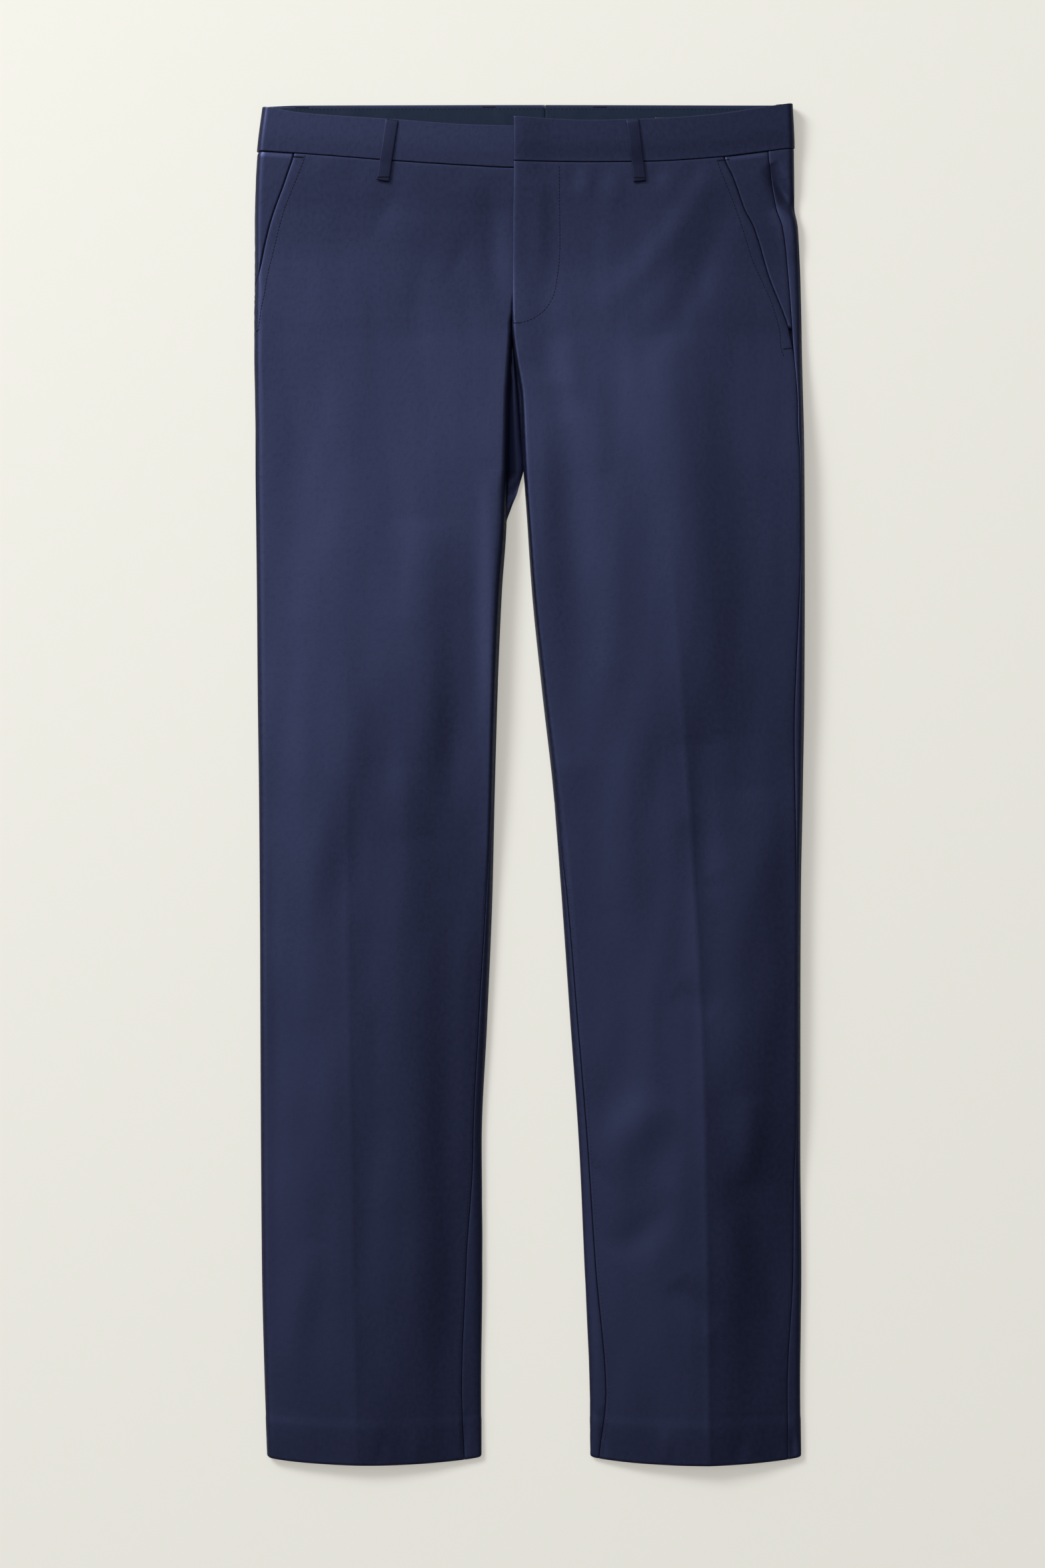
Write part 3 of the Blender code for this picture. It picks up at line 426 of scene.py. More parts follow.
def curve(places: Sequence[float], values: Sequence[float], at: Points | float) -> Points:
    """Reads a smooth curve through the points, which never overshoots them.

    Args:
        places: Rising positions of the points.
        values: Their values.
        at: Where to read.

    Returns:
        The values there.
    """
    places, values = np.asarray(places, float), np.asarray(values, float)
    at = np.clip(at, places[0], places[-1])
    steps = np.diff(places)
    slopes = np.diff(values) / steps
    turns = slopes[:-1] * slopes[1:] > 0
    inner = np.where(turns, 2 * slopes[:-1] * slopes[1:] / np.where(turns, slopes[:-1] + slopes[1:], 1), 0)
    tangents = np.concatenate([slopes[:1], inner, slopes[-1:]])
    span = np.clip(np.searchsorted(places, at, side="right") - 1, 0, len(steps) - 1)
    step, part = steps[span], (at - places[span]) / steps[span]
    start, end = values[span], values[span + 1]
    bend_in = tangents[span] * step - (end - start)
    bend_out = (end - start) - tangents[span + 1] * step
    line = start + (end - start) * part
    return line + part * (1 - part) * ((1 - part) * bend_in + part * bend_out)


def column(table: Sequence[NamedTuple], name: str, at: Points | float, key: str = "down") -> Points:
    """Reads one column of a table at any place between its rows.

    Args:
        table: The rows.
        name: The column to read.
        at: The place.
        key: The column that holds the rows' places.

    Returns:
        The column's value there.
    """
    return curve([getattr(row, key) for row in table], [getattr(row, name) for row in table], at)


def lengths_along(points: Points) -> Points:
    """Distance from a line's first point to each of its points.

    Args:
        points: The line.

    Returns:
        One distance for each point.
    """
    steps = np.linalg.norm(np.diff(points, axis=0), axis=1)
    return np.concatenate([[0.0], np.cumsum(steps)])


def rolled(distance: Points, run: float) -> Points:
    """The rise of cloth that rolls over at a fold.

    Args:
        distance: How far each point is from the fold.
        run: How far from it the cloth is level.

    Returns:
        A share of the whole rise for each point.
    """
    return np.sqrt(1 - (1 - np.clip(distance / run, 0, 1)) ** 2)


def raised(folds: Sequence[Fold], x: Points, down: Points) -> Points:
    """Adds up what a list of folds does to the cloth.

    Args:
        folds: The folds.
        x: X of the points.
        down: Their distance from the waist.

    Returns:
        How far each point is raised.
    """
    total = np.zeros(np.broadcast(x, down).shape)
    for fold in folds:
        run, fall = fold.x_to - fold.x_from, fold.down_to - fold.down_from
        length = math.hypot(run, fall)
        along = ((x - fold.x_from) * run + (down - fold.down_from) * fall) / length**2
        reach = np.sin(math.pi * np.clip(along, 0, 1))
        aside = ((x - fold.x_from) * fall - (down - fold.down_from) * run) / length - fold.bow * reach
        across = np.abs(aside) / fold.width
        total += fold.height * reach**FOLD_TAPER * np.exp(-across if fold.sharp else -(across**2))
    return total


def drape(x: Points, down: Points, wide: float, long: float, seed: float) -> Points:
    """Slow unevenness of cloth that has been laid down.

    Args:
        x: X of the points.
        down: Their distance from the waist.
        wide: Size of a swell across the leg.
        long: Its size along the leg.
        seed: Picks another set of swells.

    Returns:
        A height between about -1 and 1 for each point.
    """
    places = zip(np.ravel(x) / wide, np.ravel(down * np.ones_like(x)) / long)
    heights = [noise.fractal(Vector((a, b, seed)), *FRACTAL) for a, b in places]
    return np.array(heights).reshape(np.shape(x))


@dataclass(frozen=True)
class Form:
    """The shape in which one half of the garment lies."""

    half: Half
    outline: tuple[Outline, ...]
    waist: tuple[WaistPoint, ...]
    folds: tuple[Fold, ...]
    rises: tuple[Rise, ...]
    crease_from: float
    crease_full: float
    crease_height: float
    crease_width: float
    edge_fade: float = 3.0  # the height over which relief grows above the fold, or below it

    def at(self, name: str, down: float) -> float:
        """One column of the outline at this distance down."""
        return float(column(self.outline, name, down))

    def waist_line(self, x: Points | float) -> tuple[Points, Points]:
        """How far down the front band's top and bottom edges are at this X."""
        return column(self.waist, "top", x, "x"), column(self.waist, "bottom", x, "x")

    def front_line(self, down: float, reach: float | None = None) -> Points:
        """The front layer at one station.

        Args:
            down: The station.
            reach: X of the inner end, where it isn't the outline's own.

        Returns:
            Points (x, z) from the outer fold to the inner end.
        """
        outer = self.at("outer", down)
        inner = self.at("inner", down) if reach is None else reach
        end = self.at("end", down) if reach is None else reach
        edge = float(column(SECTIONS, "edge", down))
        high_out, high, high_in, web, roll = (
            float(column(self.rises, name, down)) for name in ("outer", "middle", "inner", "web", "roll")
        )
        closing = ease((down - CROTCH) / CROTCH_CLOSE)
        span = min(abs(end - inner) / WEB_SPAN, 1.0)
        low = edge + (web - edge) * (1 - closing + closing * span)
        x = outer + (inner - outer) * (1 - np.cos(np.linspace(0, math.pi, ARC))) / 2
        marks = sorted([(outer, high_out), (self.at("crease", down), high), (inner, high_in)])
        top = curve(*zip(*marks), x)
        z = edge + (top - edge) * rolled(np.abs(x - outer), OUTER_ROLL)
        lip = low + GROOVE * (span * (1 - closing)) * (high_in - low)
        z = np.minimum(z, lip + (top - lip) * rolled(np.abs(x - inner), roll))
        line = np.stack([x, z], axis=1)
        if abs(end - inner) > SEAM:
            corner = np.linspace(0, math.pi / 2, CORNER)[1:]
            web_x = inner + (end - inner) * np.sin(corner)
            web_z = low + (lip - low) * (1 - np.sin(corner))
            web_z = web_z + (edge - low) * closing * (1 - np.cos(corner))
            line = np.vstack([line, np.stack([web_x, web_z], axis=1)])
        return line

    def under_line(self, down: float, wall: float) -> Points:
        """The layer that lies on the surface, at one station.

        Args:
            down: The station.
            wall: Thickness of the cloth.

        Returns:
            Points (x, z) from the outer fold to the inner end.
        """
        outer, edge = self.at("outer", down), float(column(SECTIONS, "edge", down))
        flat = wall / 2 + float(column(SECTIONS, "lift", down))
        closing = ease((down - CROTCH) / CROTCH_CLOSE)
        end = self.at("end", down) * closing + centre_back(down) * (1 - closing)
        corner = np.linspace(0, math.pi / 2, CORNER)
        run, inward = edge - flat, -self.half.value
        outer_x = outer + inward * run * (1 - np.cos(corner))
        outer_z = edge - run * np.sin(corner)
        parts = [np.stack([outer_x, outer_z], axis=1)]
        flat_x = np.linspace(outer_x[-1], end - inward * run * closing, FLAT_STEPS)[1:]
        parts.append(np.stack([flat_x, np.full_like(flat_x, flat)], axis=1))
        if closing > 0:
            inner_x = end - inward * run * closing * (1 - np.sin(corner[1:]))
            inner_z = flat + run * closing * (1 - np.cos(corner[1:]))
            parts.append(np.stack([inner_x, inner_z], axis=1))
        return np.vstack(parts)

    def relief(self, points: Points, downs: Points, station: float, on_front: Points) -> Points:
        """What folds, drags, the crease and the lie of the cloth add to the plain form.

        Args:
            points: Points (x, z) of one ring.
            downs: Their distance from the waist.
            station: The ring's station.
            on_front: Whether each is on the front layer, as 0 or 1.

        Returns:
            How far each point is raised.
        """
        x, edge = points[:, 0], float(column(SECTIONS, "edge", station))
        above = ease((points[:, 1] - edge) / self.edge_fade) * on_front
        below = ease((edge - points[:, 1]) / self.edge_fade) * (1 - on_front)
        pressed = float(ease((station - self.crease_from) / (self.crease_full - self.crease_from)))
        tent = np.exp(-np.abs(x - self.at("crease", station)) / self.crease_width)
        lie = float(column(TILTS, self.half.label, station))
        laid = float(ease((station - BAND_DEPTH) / WAIST_BLEND))
        legs = float(ease((station - CROTCH) / CROTCH))
        below_fly = float(ease((station - FLY_SEAM) / CALM_BELOW))
        free = np.minimum(below_fly + ease((np.abs(x - FLY_EDGE) - FLY_CLEAR) / CALM_RUN), 1.0)
        sizes = ((across, along, seed + self.half.value) for across, along, seed in (WIDE_SWELL, FINE_SWELL))
        wide, fine = (drape(x, downs, *size) for size in sizes)
        swell = (CALM_ABOVE + (1 - CALM_ABOVE) * legs) * laid * wide + FINE_SHARE * laid * fine
        swell = swell * (CALM_BY_FLY + (1 - CALM_BY_FLY) * free)
        front = raised(self.folds, x, downs) + raised(DRAGS, x, downs) + swell
        front += self.crease_height * pressed * tent + lie
        return above * front - below * raised(UNDER_FOLDS, x, downs)


FORMS = {
    Half.RIGHT: Form(
        Half.RIGHT, RIGHT_OUTLINE, RIGHT_WAIST, RIGHT_FOLDS, RIGHT_RISES,
        crease_from=420.0, crease_full=700.0, crease_height=0.45, crease_width=7.0,
    ),
    Half.LEFT: Form(
        Half.LEFT, LEFT_OUTLINE, LEFT_WAIST, LEFT_FOLDS, LEFT_RISES,
        crease_from=285.0, crease_full=660.0, crease_height=0.9, crease_width=6.0,
    ),
}


def centre_back(down: float) -> float:
    """Where the centre-back seam runs.

    Args:
        down: The distance down.

    Returns:
        The seam's X.
    """
    return CENTRE_BACK_WAIST + (CENTRE_BACK_CROTCH - CENTRE_BACK_WAIST) * min(down / CROTCH, 1.0)


def back_waist_line(x: Points | float) -> tuple[Points, Points]:
    """How far down the back band's edges are.

    Args:
        x: Where to read them.

    Returns:
        The top and the bottom edge.
    """
    return column(BACK_WAIST, "top", x, "x"), column(BACK_WAIST, "bottom", x, "x")


class Ring:
    """The cloth round one half of the garment at one station.

    Its line starts at the inner end, runs under the leg to the outer fold and comes back over the front.
    Below the crotch it is a closed tube, and places on it may run past either end."""

    def __init__(self, form: Form, down: float, wall: float = CLOTH, reach: float | None = None) -> None:
        """Lays out the line.

        Args:
            form: The half's shape.
            down: The station.
            wall: Thickness of the cloth.
            reach: X of the inner end, where it isn't the outline's own.
        """
        front, under = form.front_line(down, reach), form.under_line(down, wall)
        self.form, self.down = form, down
        self.fold = float(lengths_along(under)[-1])
        loop = np.vstack([under[::-1], front[1:]])
        self.total = float(lengths_along(loop)[-1])
        self.closed = down > CROTCH
        before = loop[-WRAP:-1] if self.closed else loop[:0]
        if self.closed:
            loop = np.vstack([before, loop, loop[1:WRAP]])
        start = -float(lengths_along(loop[: len(before) + 1])[-1]) if self.closed else 0.0
        self.points, self.at = loop, start + lengths_along(loop)
        along = np.gradient(loop, axis=0)
        along /= np.linalg.norm(along, axis=1)[:, None]
        self.outward = np.stack([along[:, 1], -along[:, 0]], axis=1) * form.half.value

    def place_of(self, inset: float) -> float:
        """Finds a place by its inset from the outer fold.

        Args:
            inset: Distance across, on the front, or below it when negative.

        Returns:
            The place on the ring.
        """
        on_side = self.at >= self.fold if inset >= 0 else self.at <= self.fold
        chosen = on_side & (self.at > -SEAM) & (self.at < self.total + SEAM)
        return self.inset_place(chosen, self.form.at("outer", self.down), inset)

    def inner_place(self, inset: float) -> float:
        """Finds a place by its inset from the inner end of a closed ring.

        Args:
            inset: Distance across, past the ring's end when negative.

        Returns:
            The place on the ring.
        """
        end = self.points[np.argmin(np.abs(self.at - self.total)), 0]
        on_front = (self.at <= self.total) & (self.at > self.total - INNER_REACH)
        below = (self.at >= self.total) & (self.at < self.total + INNER_REACH)
        return self.inset_place(on_front if inset >= 0 else below, end, inset)

    def inset_place(self, chosen: Points, x: float, inset: float) -> float:
        """Finds a place by how far it is from one X.

        Args:
            chosen: Which of the line's points to look at.
            x: The X.
            inset: Distance across, of either sign.

        Returns:
            The place on the ring.
        """
        insets = np.abs(self.points[chosen, 0] - x)
        order = np.argsort(insets)
        return float(np.interp(abs(inset), insets[order], self.at[chosen][order]))

    def sample(self, places: Points, inward: Points | float = 0.0) -> Points:
        """Reads points on the ring.

        Args:
            places: Places along it.
            inward: How far each is moved toward the inside of the tube.

        Returns:
            Points (x, z).
        """
        x, z = (np.interp(places, self.at, self.points[:, axis]) for axis in (0, 1))
        out_x, out_z = (np.interp(places, self.at, self.outward[:, axis]) for axis in (0, 1))
        return np.stack([x - inward * out_x, z - inward * out_z], axis=1)

    def on_front(self, places: Points) -> Points:
        """Whether each place is on the front layer, as 0 or 1."""
        return ((places >= self.fold) & (places <= self.total) | (places < 0)).astype(float)

    def seams(self) -> tuple[float, float, float]:
        """Finds where the panels meet.

        Returns:
            The places where the back starts, where the outseam is and where the front ends.
        """
        outseam = self.place_of(self.form.at("outseam", self.down))
        if not self.closed:
            return JOIN / 2, outseam, self.total - JOIN / 2
        inseam = self.inner_place(self.form.at("inseam", self.down))
        join = JOIN + (CROTCH_JOIN - JOIN) * (1 - ease((self.down - CROTCH - CROTCH_CLOSE) / JOIN_RUN))
        return inseam - self.total + join / 2, outseam, inseam - join / 2


def spread(marks: Sequence[float], counts: Sequence[int], seams: tuple[bool, bool] = (True, True)) -> Points:
    """Spaces columns evenly from mark to mark, and closely beside a seam.

    Args:
        marks: Rising places between which the spacing is even.
        counts: Steps between each mark and the next.
        seams: Whether a seam lies at the start and at the end.

    Returns:
        The columns' places.
    """
    first, last = marks[0], marks[-1]
    marks = [first + NARROW[-1] * seams[0], *marks[1:-1], last - NARROW[-1] * seams[1]]
    places = [np.linspace(a, b, count + 1)[:-1] for a, b, count in zip(marks, marks[1:], counts)]
    before = [first, *(first + step for step in NARROW[:-1])] if seams[0] else []
    after = [*(last - step for step in NARROW[:-1][::-1]), last] if seams[1] else []
    return np.concatenate([before, *places, [marks[-1]], after])


class Cut(NamedTuple):
    """A line of cloth at one station: points (x, z), the directions out of the garment there, and whether
    each is on the front layer, as 0 or 1."""

    points: Points
    outward: Points
    on_front: Points


def cut(ring: Ring, places: Points) -> Cut:
    """Reads a line of cloth off a ring.

    Args:
        ring: The ring.
        places: Places along it.

    Returns:
        The line.
    """
    points = ring.sample(places)
    return Cut(points, points - ring.sample(places, 1.0), ring.on_front(places))


def between(lines: Callable[[float], Cut], station: float) -> Cut:
    """Reads a line at any station, with an even change between the rows where the crotch closes.

    Args:
        lines: Gives the line of a station.
        station: The station.

    Returns:
        The line.
    """
    for above, below in zip(CLOSING, CLOSING[1:]):
        if above < station < below:
            share = (station - above) / (below - above)
            return Cut(*(a + (b - a) * share for a, b in zip(lines(above), lines(below))))
    return lines(station)


def ditch(distance: Points, depth: float, width: float = DITCH_WIDTH) -> Points:
    """How far cloth sinks toward the seam that it runs into.

    Args:
        distance: How far each point is from the seam.
        depth: How far the cloth's edge sinks.
        width: How soon it is level again.

    Returns:
        The movement of each point, which is inward and so below 0.
    """
    return -depth * np.exp(-np.maximum(distance, 0.0) / width)


def stations(top: float, bottom: float, fine: float, coarse: float) -> list[float]:
    """Rows for a panel, closer together near its two ends.

    Args:
        top: The first row.
        bottom: The last row.
        fine: Step near the ends.
        coarse: Step between them.

    Returns:
        The rows' distances down.
    """
    near = END_ROWS * fine
    rows = [top + step for step in (0.0, *NARROW)] + [bottom - step for step in (0.0, *NARROW)]
    rows += [*np.arange(top + 2 * fine, top + near, fine), *np.arange(top + near, bottom - near, coarse)]
    rows += [*np.arange(bottom - near, bottom - 2 * fine, fine)]
    rows += [FLY_END, FLY_SEAM, CROTCH, CROTCH + CLOSE_STEP]
    kept = (row for row in rows if top <= row <= bottom and not FLY_END < row < FLY_SEAM)
    return sorted({round(float(row), 3) for row in kept})


def in_space(x: Points, downs: Points | float, z: Points | float) -> Points:
    """Turns places on the garment into points (x, y, z).

    Args:
        x: Their X.
        downs: Their distances down.
        z: Their heights.

    Returns:
        The points, still in millimetres.
    """
    return np.stack(np.broadcast_arrays(x, TOP - downs, z), axis=1)


def panel_downs(form: Form, station: float, points: Points, on_front: Points) -> Points:
    """Places a panel's row, which follows the band's seam at the top and the hem's bow at the bottom.

    Args:
        form: The half's shape.
        station: The row.
        points: Its points (x, z).
        on_front: Whether each is on the front layer, as 0 or 1.

    Returns:
        Each point's distance down.
    """
    outer, inner = form.at("outer", station), form.at("inner", station)
    share = np.clip((points[:, 0] - outer) / (inner - outer), 0, 1)
    bow = np.where(on_front > 0, HEM_BOW, UNDER_HEM_BOW) * np.sin(math.pi * share) ** HEM_SHAPE - HEM_BOW
    near_hem = ease((station - (LENGTH - HEM_BLEND)) / HEM_BLEND)
    x = points[:, 0]
    seam = np.where(on_front > 0, form.waist_line(x)[1], back_waist_line(x)[1]) + SEAM
    near_waist = 1 - ease((station - BAND_DEPTH) / WAIST_BLEND)
    return station + (seam - BAND_DEPTH) * near_waist + bow * near_hem


def sink_behind_fly(form: Form, points: Points, on_front: Points | float, down: float) -> Points:
    """Lowers the right side's cloth where it lies hidden behind the left side.

    Args:
        form: The half's shape.
        points: Points (x, z) of one row.
        on_front: Whether each is on the front layer.
        down: The row's station.

    Returns:
        The lowered points.
    """
    if form.half is Half.RIGHT:
        hidden = ease((points[:, 0] - FLY_EDGE - FLY_CLEAR) / HIDDEN_RUN)
        covered = 1 - float(ease((down - FLY_SEAM) / FLY_FADE))
        points[:, 1] -= HIDDEN_DROP * hidden * covered * on_front
    return points


def front_height(form: Form, x: Points, down: float, drop: float, station: float | None = None) -> Points:
    """Height of a thing that lies behind or on the front.

    Args:
        form: The half's shape.
        x: X of the points.
        down: Their distance from the waist.
        drop: How far they lie below the front's middle.
        station: The station whose line they follow, where it isn't `down`.

    Returns:
        Their heights.
    """
    station = down if station is None else station
    line = form.front_line(station)
    order = np.argsort(line[:, 0])
    points = np.stack([x, np.interp(x, line[order, 0], line[order, 1])], axis=1)
    moved = form.relief(points, np.full(len(points), float(down)), station, np.ones(len(points)))
    return points[:, 1] + moved - drop


def placed(name: str, data: bpy.types.ID) -> bpy.types.Object:
    """Makes an object and puts it in the scene.

    Args:
        name: Its name.
        data: What it shows.

    Returns:
        The object.
    """
    made = bpy.data.objects.new(name, data)
    bpy.context.scene.collection.objects.link(made)
    return made


def lay_pattern(piece: bpy.types.Object, plane: Points) -> None:
    """Gives a piece of cloth or thread its UV map.

    Args:
        piece: The piece, before any modifier adds to it.
        plane: For each vertex, metres across and along the cloth.
    """
    corners = np.zeros(len(piece.data.loops), np.int32)
    piece.data.loops.foreach_get("vertex_index", corners)
    layer = piece.data.uv_layers.new(name=UV_NAME)
    layer.data.foreach_set("uv", plane[corners].astype(np.float32).ravel())


class Graph:
    """A node tree and short ways to add to it."""

    def __init__(self, tree: bpy.types.NodeTree) -> None:
        """Takes hold of a tree."""
        self.tree = tree

    def feed(self, node: bpy.types.Node, inputs: dict) -> None:
        """Sets or links a node's inputs.

        Args:
            node: The node.
            inputs: For each socket, by name or number, a value or an output to link from.
        """
        for name, value in inputs.items():
            if isinstance(value, bpy.types.NodeSocket):
                self.tree.links.new(value, node.inputs[name])
            else:
                node.inputs[name].default_value = value

    def add(self, kind: str, inputs: dict | None = None, **settings: object) -> bpy.types.Node:
        """Adds a node.

        Args:
            kind: The node's type.
            inputs: What feeds it.
            settings: The node's own properties.

        Returns:
            The node.
        """
        node = self.tree.nodes.new(kind)
        for name, value in settings.items():
            setattr(node, name, value)
        self.feed(node, inputs or {})
        return node

    def maths(self, operation: str, *values: object) -> bpy.types.NodeSocket:
        """Output of a Math node that works on these values, which are numbers or outputs."""
        return self.add("ShaderNodeMath", dict(enumerate(values)), operation=operation).outputs[0]

    def noise(self, place: bpy.types.NodeSocket, scale: float, detail: float) -> bpy.types.NodeSocket:
        """Value of a Noise Texture."""
        sockets = {"Vector": place, "Scale": scale, "Detail": detail}
        return self.add("ShaderNodeTexNoise", sockets).outputs["Fac"]

    def stretched(self, place: bpy.types.NodeSocket, *scale: float) -> bpy.types.NodeSocket:
        """A vector scaled along each of its axes."""
        return self.add("ShaderNodeMapping", {"Vector": place, "Scale": scale}).outputs[0]

    def shaded(self, colour: tuple[float, float, float], tone: bpy.types.NodeSocket) -> bpy.types.NodeSocket:
        """A colour made lighter or darker by a tone."""
        return self.add("ShaderNodeVectorMath", {0: colour, "Scale": tone}, operation="SCALE").outputs[0]


def new_material(name: str) -> tuple[bpy.types.Material, Graph, bpy.types.Node]:
    """Starts a material.

    Args:
        name: Its name.

    Returns:
        The material, its graph and its shader.
    """
    made = bpy.data.materials.new(name)
    made.use_nodes = True
    return made, Graph(made.node_tree), made.node_tree.nodes["Principled BSDF"]


def effect(
    name: str, inputs: dict[str, tuple[str, object]], outputs: dict[str, str]
) -> tuple[Graph, dict, dict]:
    """Starts a node group.

    Args:
        name: Its name.
        inputs: Each input's socket type and default value.
        outputs: Each output's socket type.

    Returns:
        The group's graph, the sockets that read its inputs and those that take its outputs.
    """
    tree = bpy.data.node_groups.new(name, "ShaderNodeTree")
    for label, (kind, value) in inputs.items():
        socket = tree.interface.new_socket(label, in_out="INPUT", socket_type=kind)
        if value is not None:
            socket.default_value = value
    for label, kind in outputs.items():
        tree.interface.new_socket(label, in_out="OUTPUT", socket_type=kind)
    graph = Graph(tree)
    given, taken = graph.add("NodeGroupInput"), graph.add("NodeGroupOutput")
    return graph, dict(given.outputs.items()), dict(taken.inputs.items())


TWILL_SLANT = 0.36
SPECKLE_HEIGHT, FLOAT_HEIGHT, MOTTLE_HEIGHT = 1.1, 0.1, 0.9
SATEEN_LAYERS = (  # each noise: its input, its stretch along the warp, its scale and its detail
    ("Speckle", 0.75, 2.1, 3.0),
    ("Mottle", 0.7, 0.31, 4.0),
    ("Streak", 0.03, 0.7, 2.0),
    ("Cloud", 0.5, 0.017, 2.0),
)


def sateen_effect() -> bpy.types.NodeTree:
    """The look of a fine sateen: steep twill floats, a speckle, a mottle, warp streaks and slow clouds.

    Returns:
        The node group. Its vector input is the cloth's own plane in metres.
    """
    inputs: dict[str, tuple[str, object]] = {"Cloth": ("NodeSocketVector", None)}
    inputs |= {label: ("NodeSocketFloat", 0.2) for label in ("Pitch", "Speckle", "Mottle", "Streak", "Cloud")}
    graph, given, taken = effect("sateen", inputs, {"Tone": "NodeSocketFloat", "Height": "NodeSocketFloat"})
    plane = graph.stretched(given["Cloth"], 1 / MM, 1 / MM, 1 / MM)
    apart = graph.add("ShaderNodeSeparateXYZ", {0: plane})
    slant = graph.maths("MULTIPLY_ADD", apart.outputs[1], TWILL_SLANT, apart.outputs[0])
    turns = graph.maths("DIVIDE", slant, given["Pitch"])
    floats = graph.maths("SINE", graph.maths("MULTIPLY", turns, 2 * math.pi))
    tone, layers = 1.0, {}
    for label, stretch, scale, detail in SATEEN_LAYERS:
        layers[label] = graph.noise(graph.stretched(plane, 1.0, stretch, 1.0), scale, detail)
        tone = graph.maths("MULTIPLY_ADD", graph.maths("SUBTRACT", layers[label], 0.5), given[label], tone)
    height = graph.maths("MULTIPLY", layers["Speckle"], SPECKLE_HEIGHT)
    height = graph.maths("MULTIPLY_ADD", floats, FLOAT_HEIGHT, height)
    height = graph.maths("MULTIPLY_ADD", layers["Mottle"], MOTTLE_HEIGHT, height)
    graph.tree.links.new(tone, taken["Tone"])
    graph.tree.links.new(height, taken["Height"])
    return graph.tree


@dataclass(frozen=True)
class Finish:
    """One woven finish: its colour, how it takes light and how even its weave is."""

    name: str
    slot: str
    colour: tuple[float, float, float]
    roughness: float = 0.5
    specular: float = 0.5
    tint: tuple[float, float, float] = (1.0, 1.0, 1.0)
    pitch: float = 0.42
    speckle: float = 0.2
    mottle: float = 0.3
    streak: float = 0.1
    cloud: float = 0.1
    bump: float = 0.35
    depth: float = 0.00009
    ior: float = 1.5
    tone_to_roughness: float = 0.5

    def material(self, weave: bpy.types.NodeTree) -> bpy.types.Material:
        """Makes the finish.

        Args:
            weave: The node group that all woven finishes share.

        Returns:
            Its material.
        """
        made, graph, shader = new_material(self.name)
        values = {"Cloth": graph.add("ShaderNodeUVMap", uv_map=UV_NAME).outputs[0], "Pitch": self.pitch}
        values |= {"Speckle": self.speckle, "Mottle": self.mottle, "Streak": self.streak, "Cloud": self.cloud}
        cloth = graph.add("ShaderNodeGroup", values, node_tree=weave)
        darker = graph.maths("SUBTRACT", 1.0, cloth.outputs["Tone"])
        rough = graph.maths("MULTIPLY_ADD", darker, self.tone_to_roughness, self.roughness)
        bump = {"Strength": self.bump, "Distance": self.depth, "Height": cloth.outputs["Height"]}
        graph.feed(shader, {
            "Base Color": graph.shaded(self.colour, cloth.outputs["Tone"]),
            "Roughness": rough,
            "Normal": graph.add("ShaderNodeBump", bump).outputs[0],
            "IOR": self.ior,
            "Specular IOR Level": self.specular,
            "Specular Tint": (*self.tint, 1.0),
        })
        made.diffuse_color = (*self.colour, 1.0)
        return made


WOOL = Finish("navy_sateen", "cloth", (0.0032, 0.0038, 0.0092), 0.43, 0.5, (0.38, 0.45, 1.0), speckle=0.9,
              mottle=1.0, bump=0.5, depth=0.00011, ior=1.8)
LOOPS = replace(WOOL, name="navy_sateen_loops", roughness=0.46, specular=0.3)
LINING = Finish("band_lining", "lining", (0.0092, 0.0178, 0.0395), 0.6, 0.12, pitch=0.3, speckle=0.12)
TAPE = Finish("zip_tape", "zip_tape", (0.012, 0.013, 0.026), 0.7, 0.3, pitch=0.8, speckle=0.15, bump=0.6)
SATIN = Finish("label_satin", "label", (0.020, 0.021, 0.014), 0.4, 0.5, pitch=0.25, speckle=0.1)
# The thread is darker than the cloth: partly its own dark navy, partly painted shade that stands for the
# dimples along each row of stitches.
THREAD_AND_STITCH_SHADE = Finish("sewing_thread", "cloth", (0.0022, 0.0026, 0.006), 0.6, 0.15, pitch=0.3, speckle=0.1)


@dataclass(frozen=True)
class Nickel:
    """Satin nickel of the hook, the bar, the slider and the teeth, with fine rubbed scratches."""

    name: str = "satin_nickel"
    colour: tuple[float, float, float] = (0.52, 0.52, 0.53)
    roughness: float = 0.3
    scratch: float = 0.22
    stretch: tuple[float, float, float] = (3.0, 0.3, 1.0)
    fineness: float = 1400.0
    bump: float = 0.2
    depth: float = 0.00005

    def material(self) -> bpy.types.Material:
        """Makes the finish.

        Returns:
            Its material.
        """
        made, graph, shader = new_material(self.name)
        place = graph.add("ShaderNodeTexCoord").outputs["Object"]
        rubbed = graph.noise(graph.stretched(place, *self.stretch), self.fineness, 4.0)
        bump = {"Strength": self.bump, "Distance": self.depth, "Height": rubbed}
        graph.feed(shader, {
            "Base Color": (*self.colour, 1.0),
            "Roughness": graph.maths("MULTIPLY_ADD", rubbed, self.scratch, self.roughness - self.scratch / 2),
            "Metallic": 1.0,
            "Normal": graph.add("ShaderNodeBump", bump).outputs[0],
        })
        return made


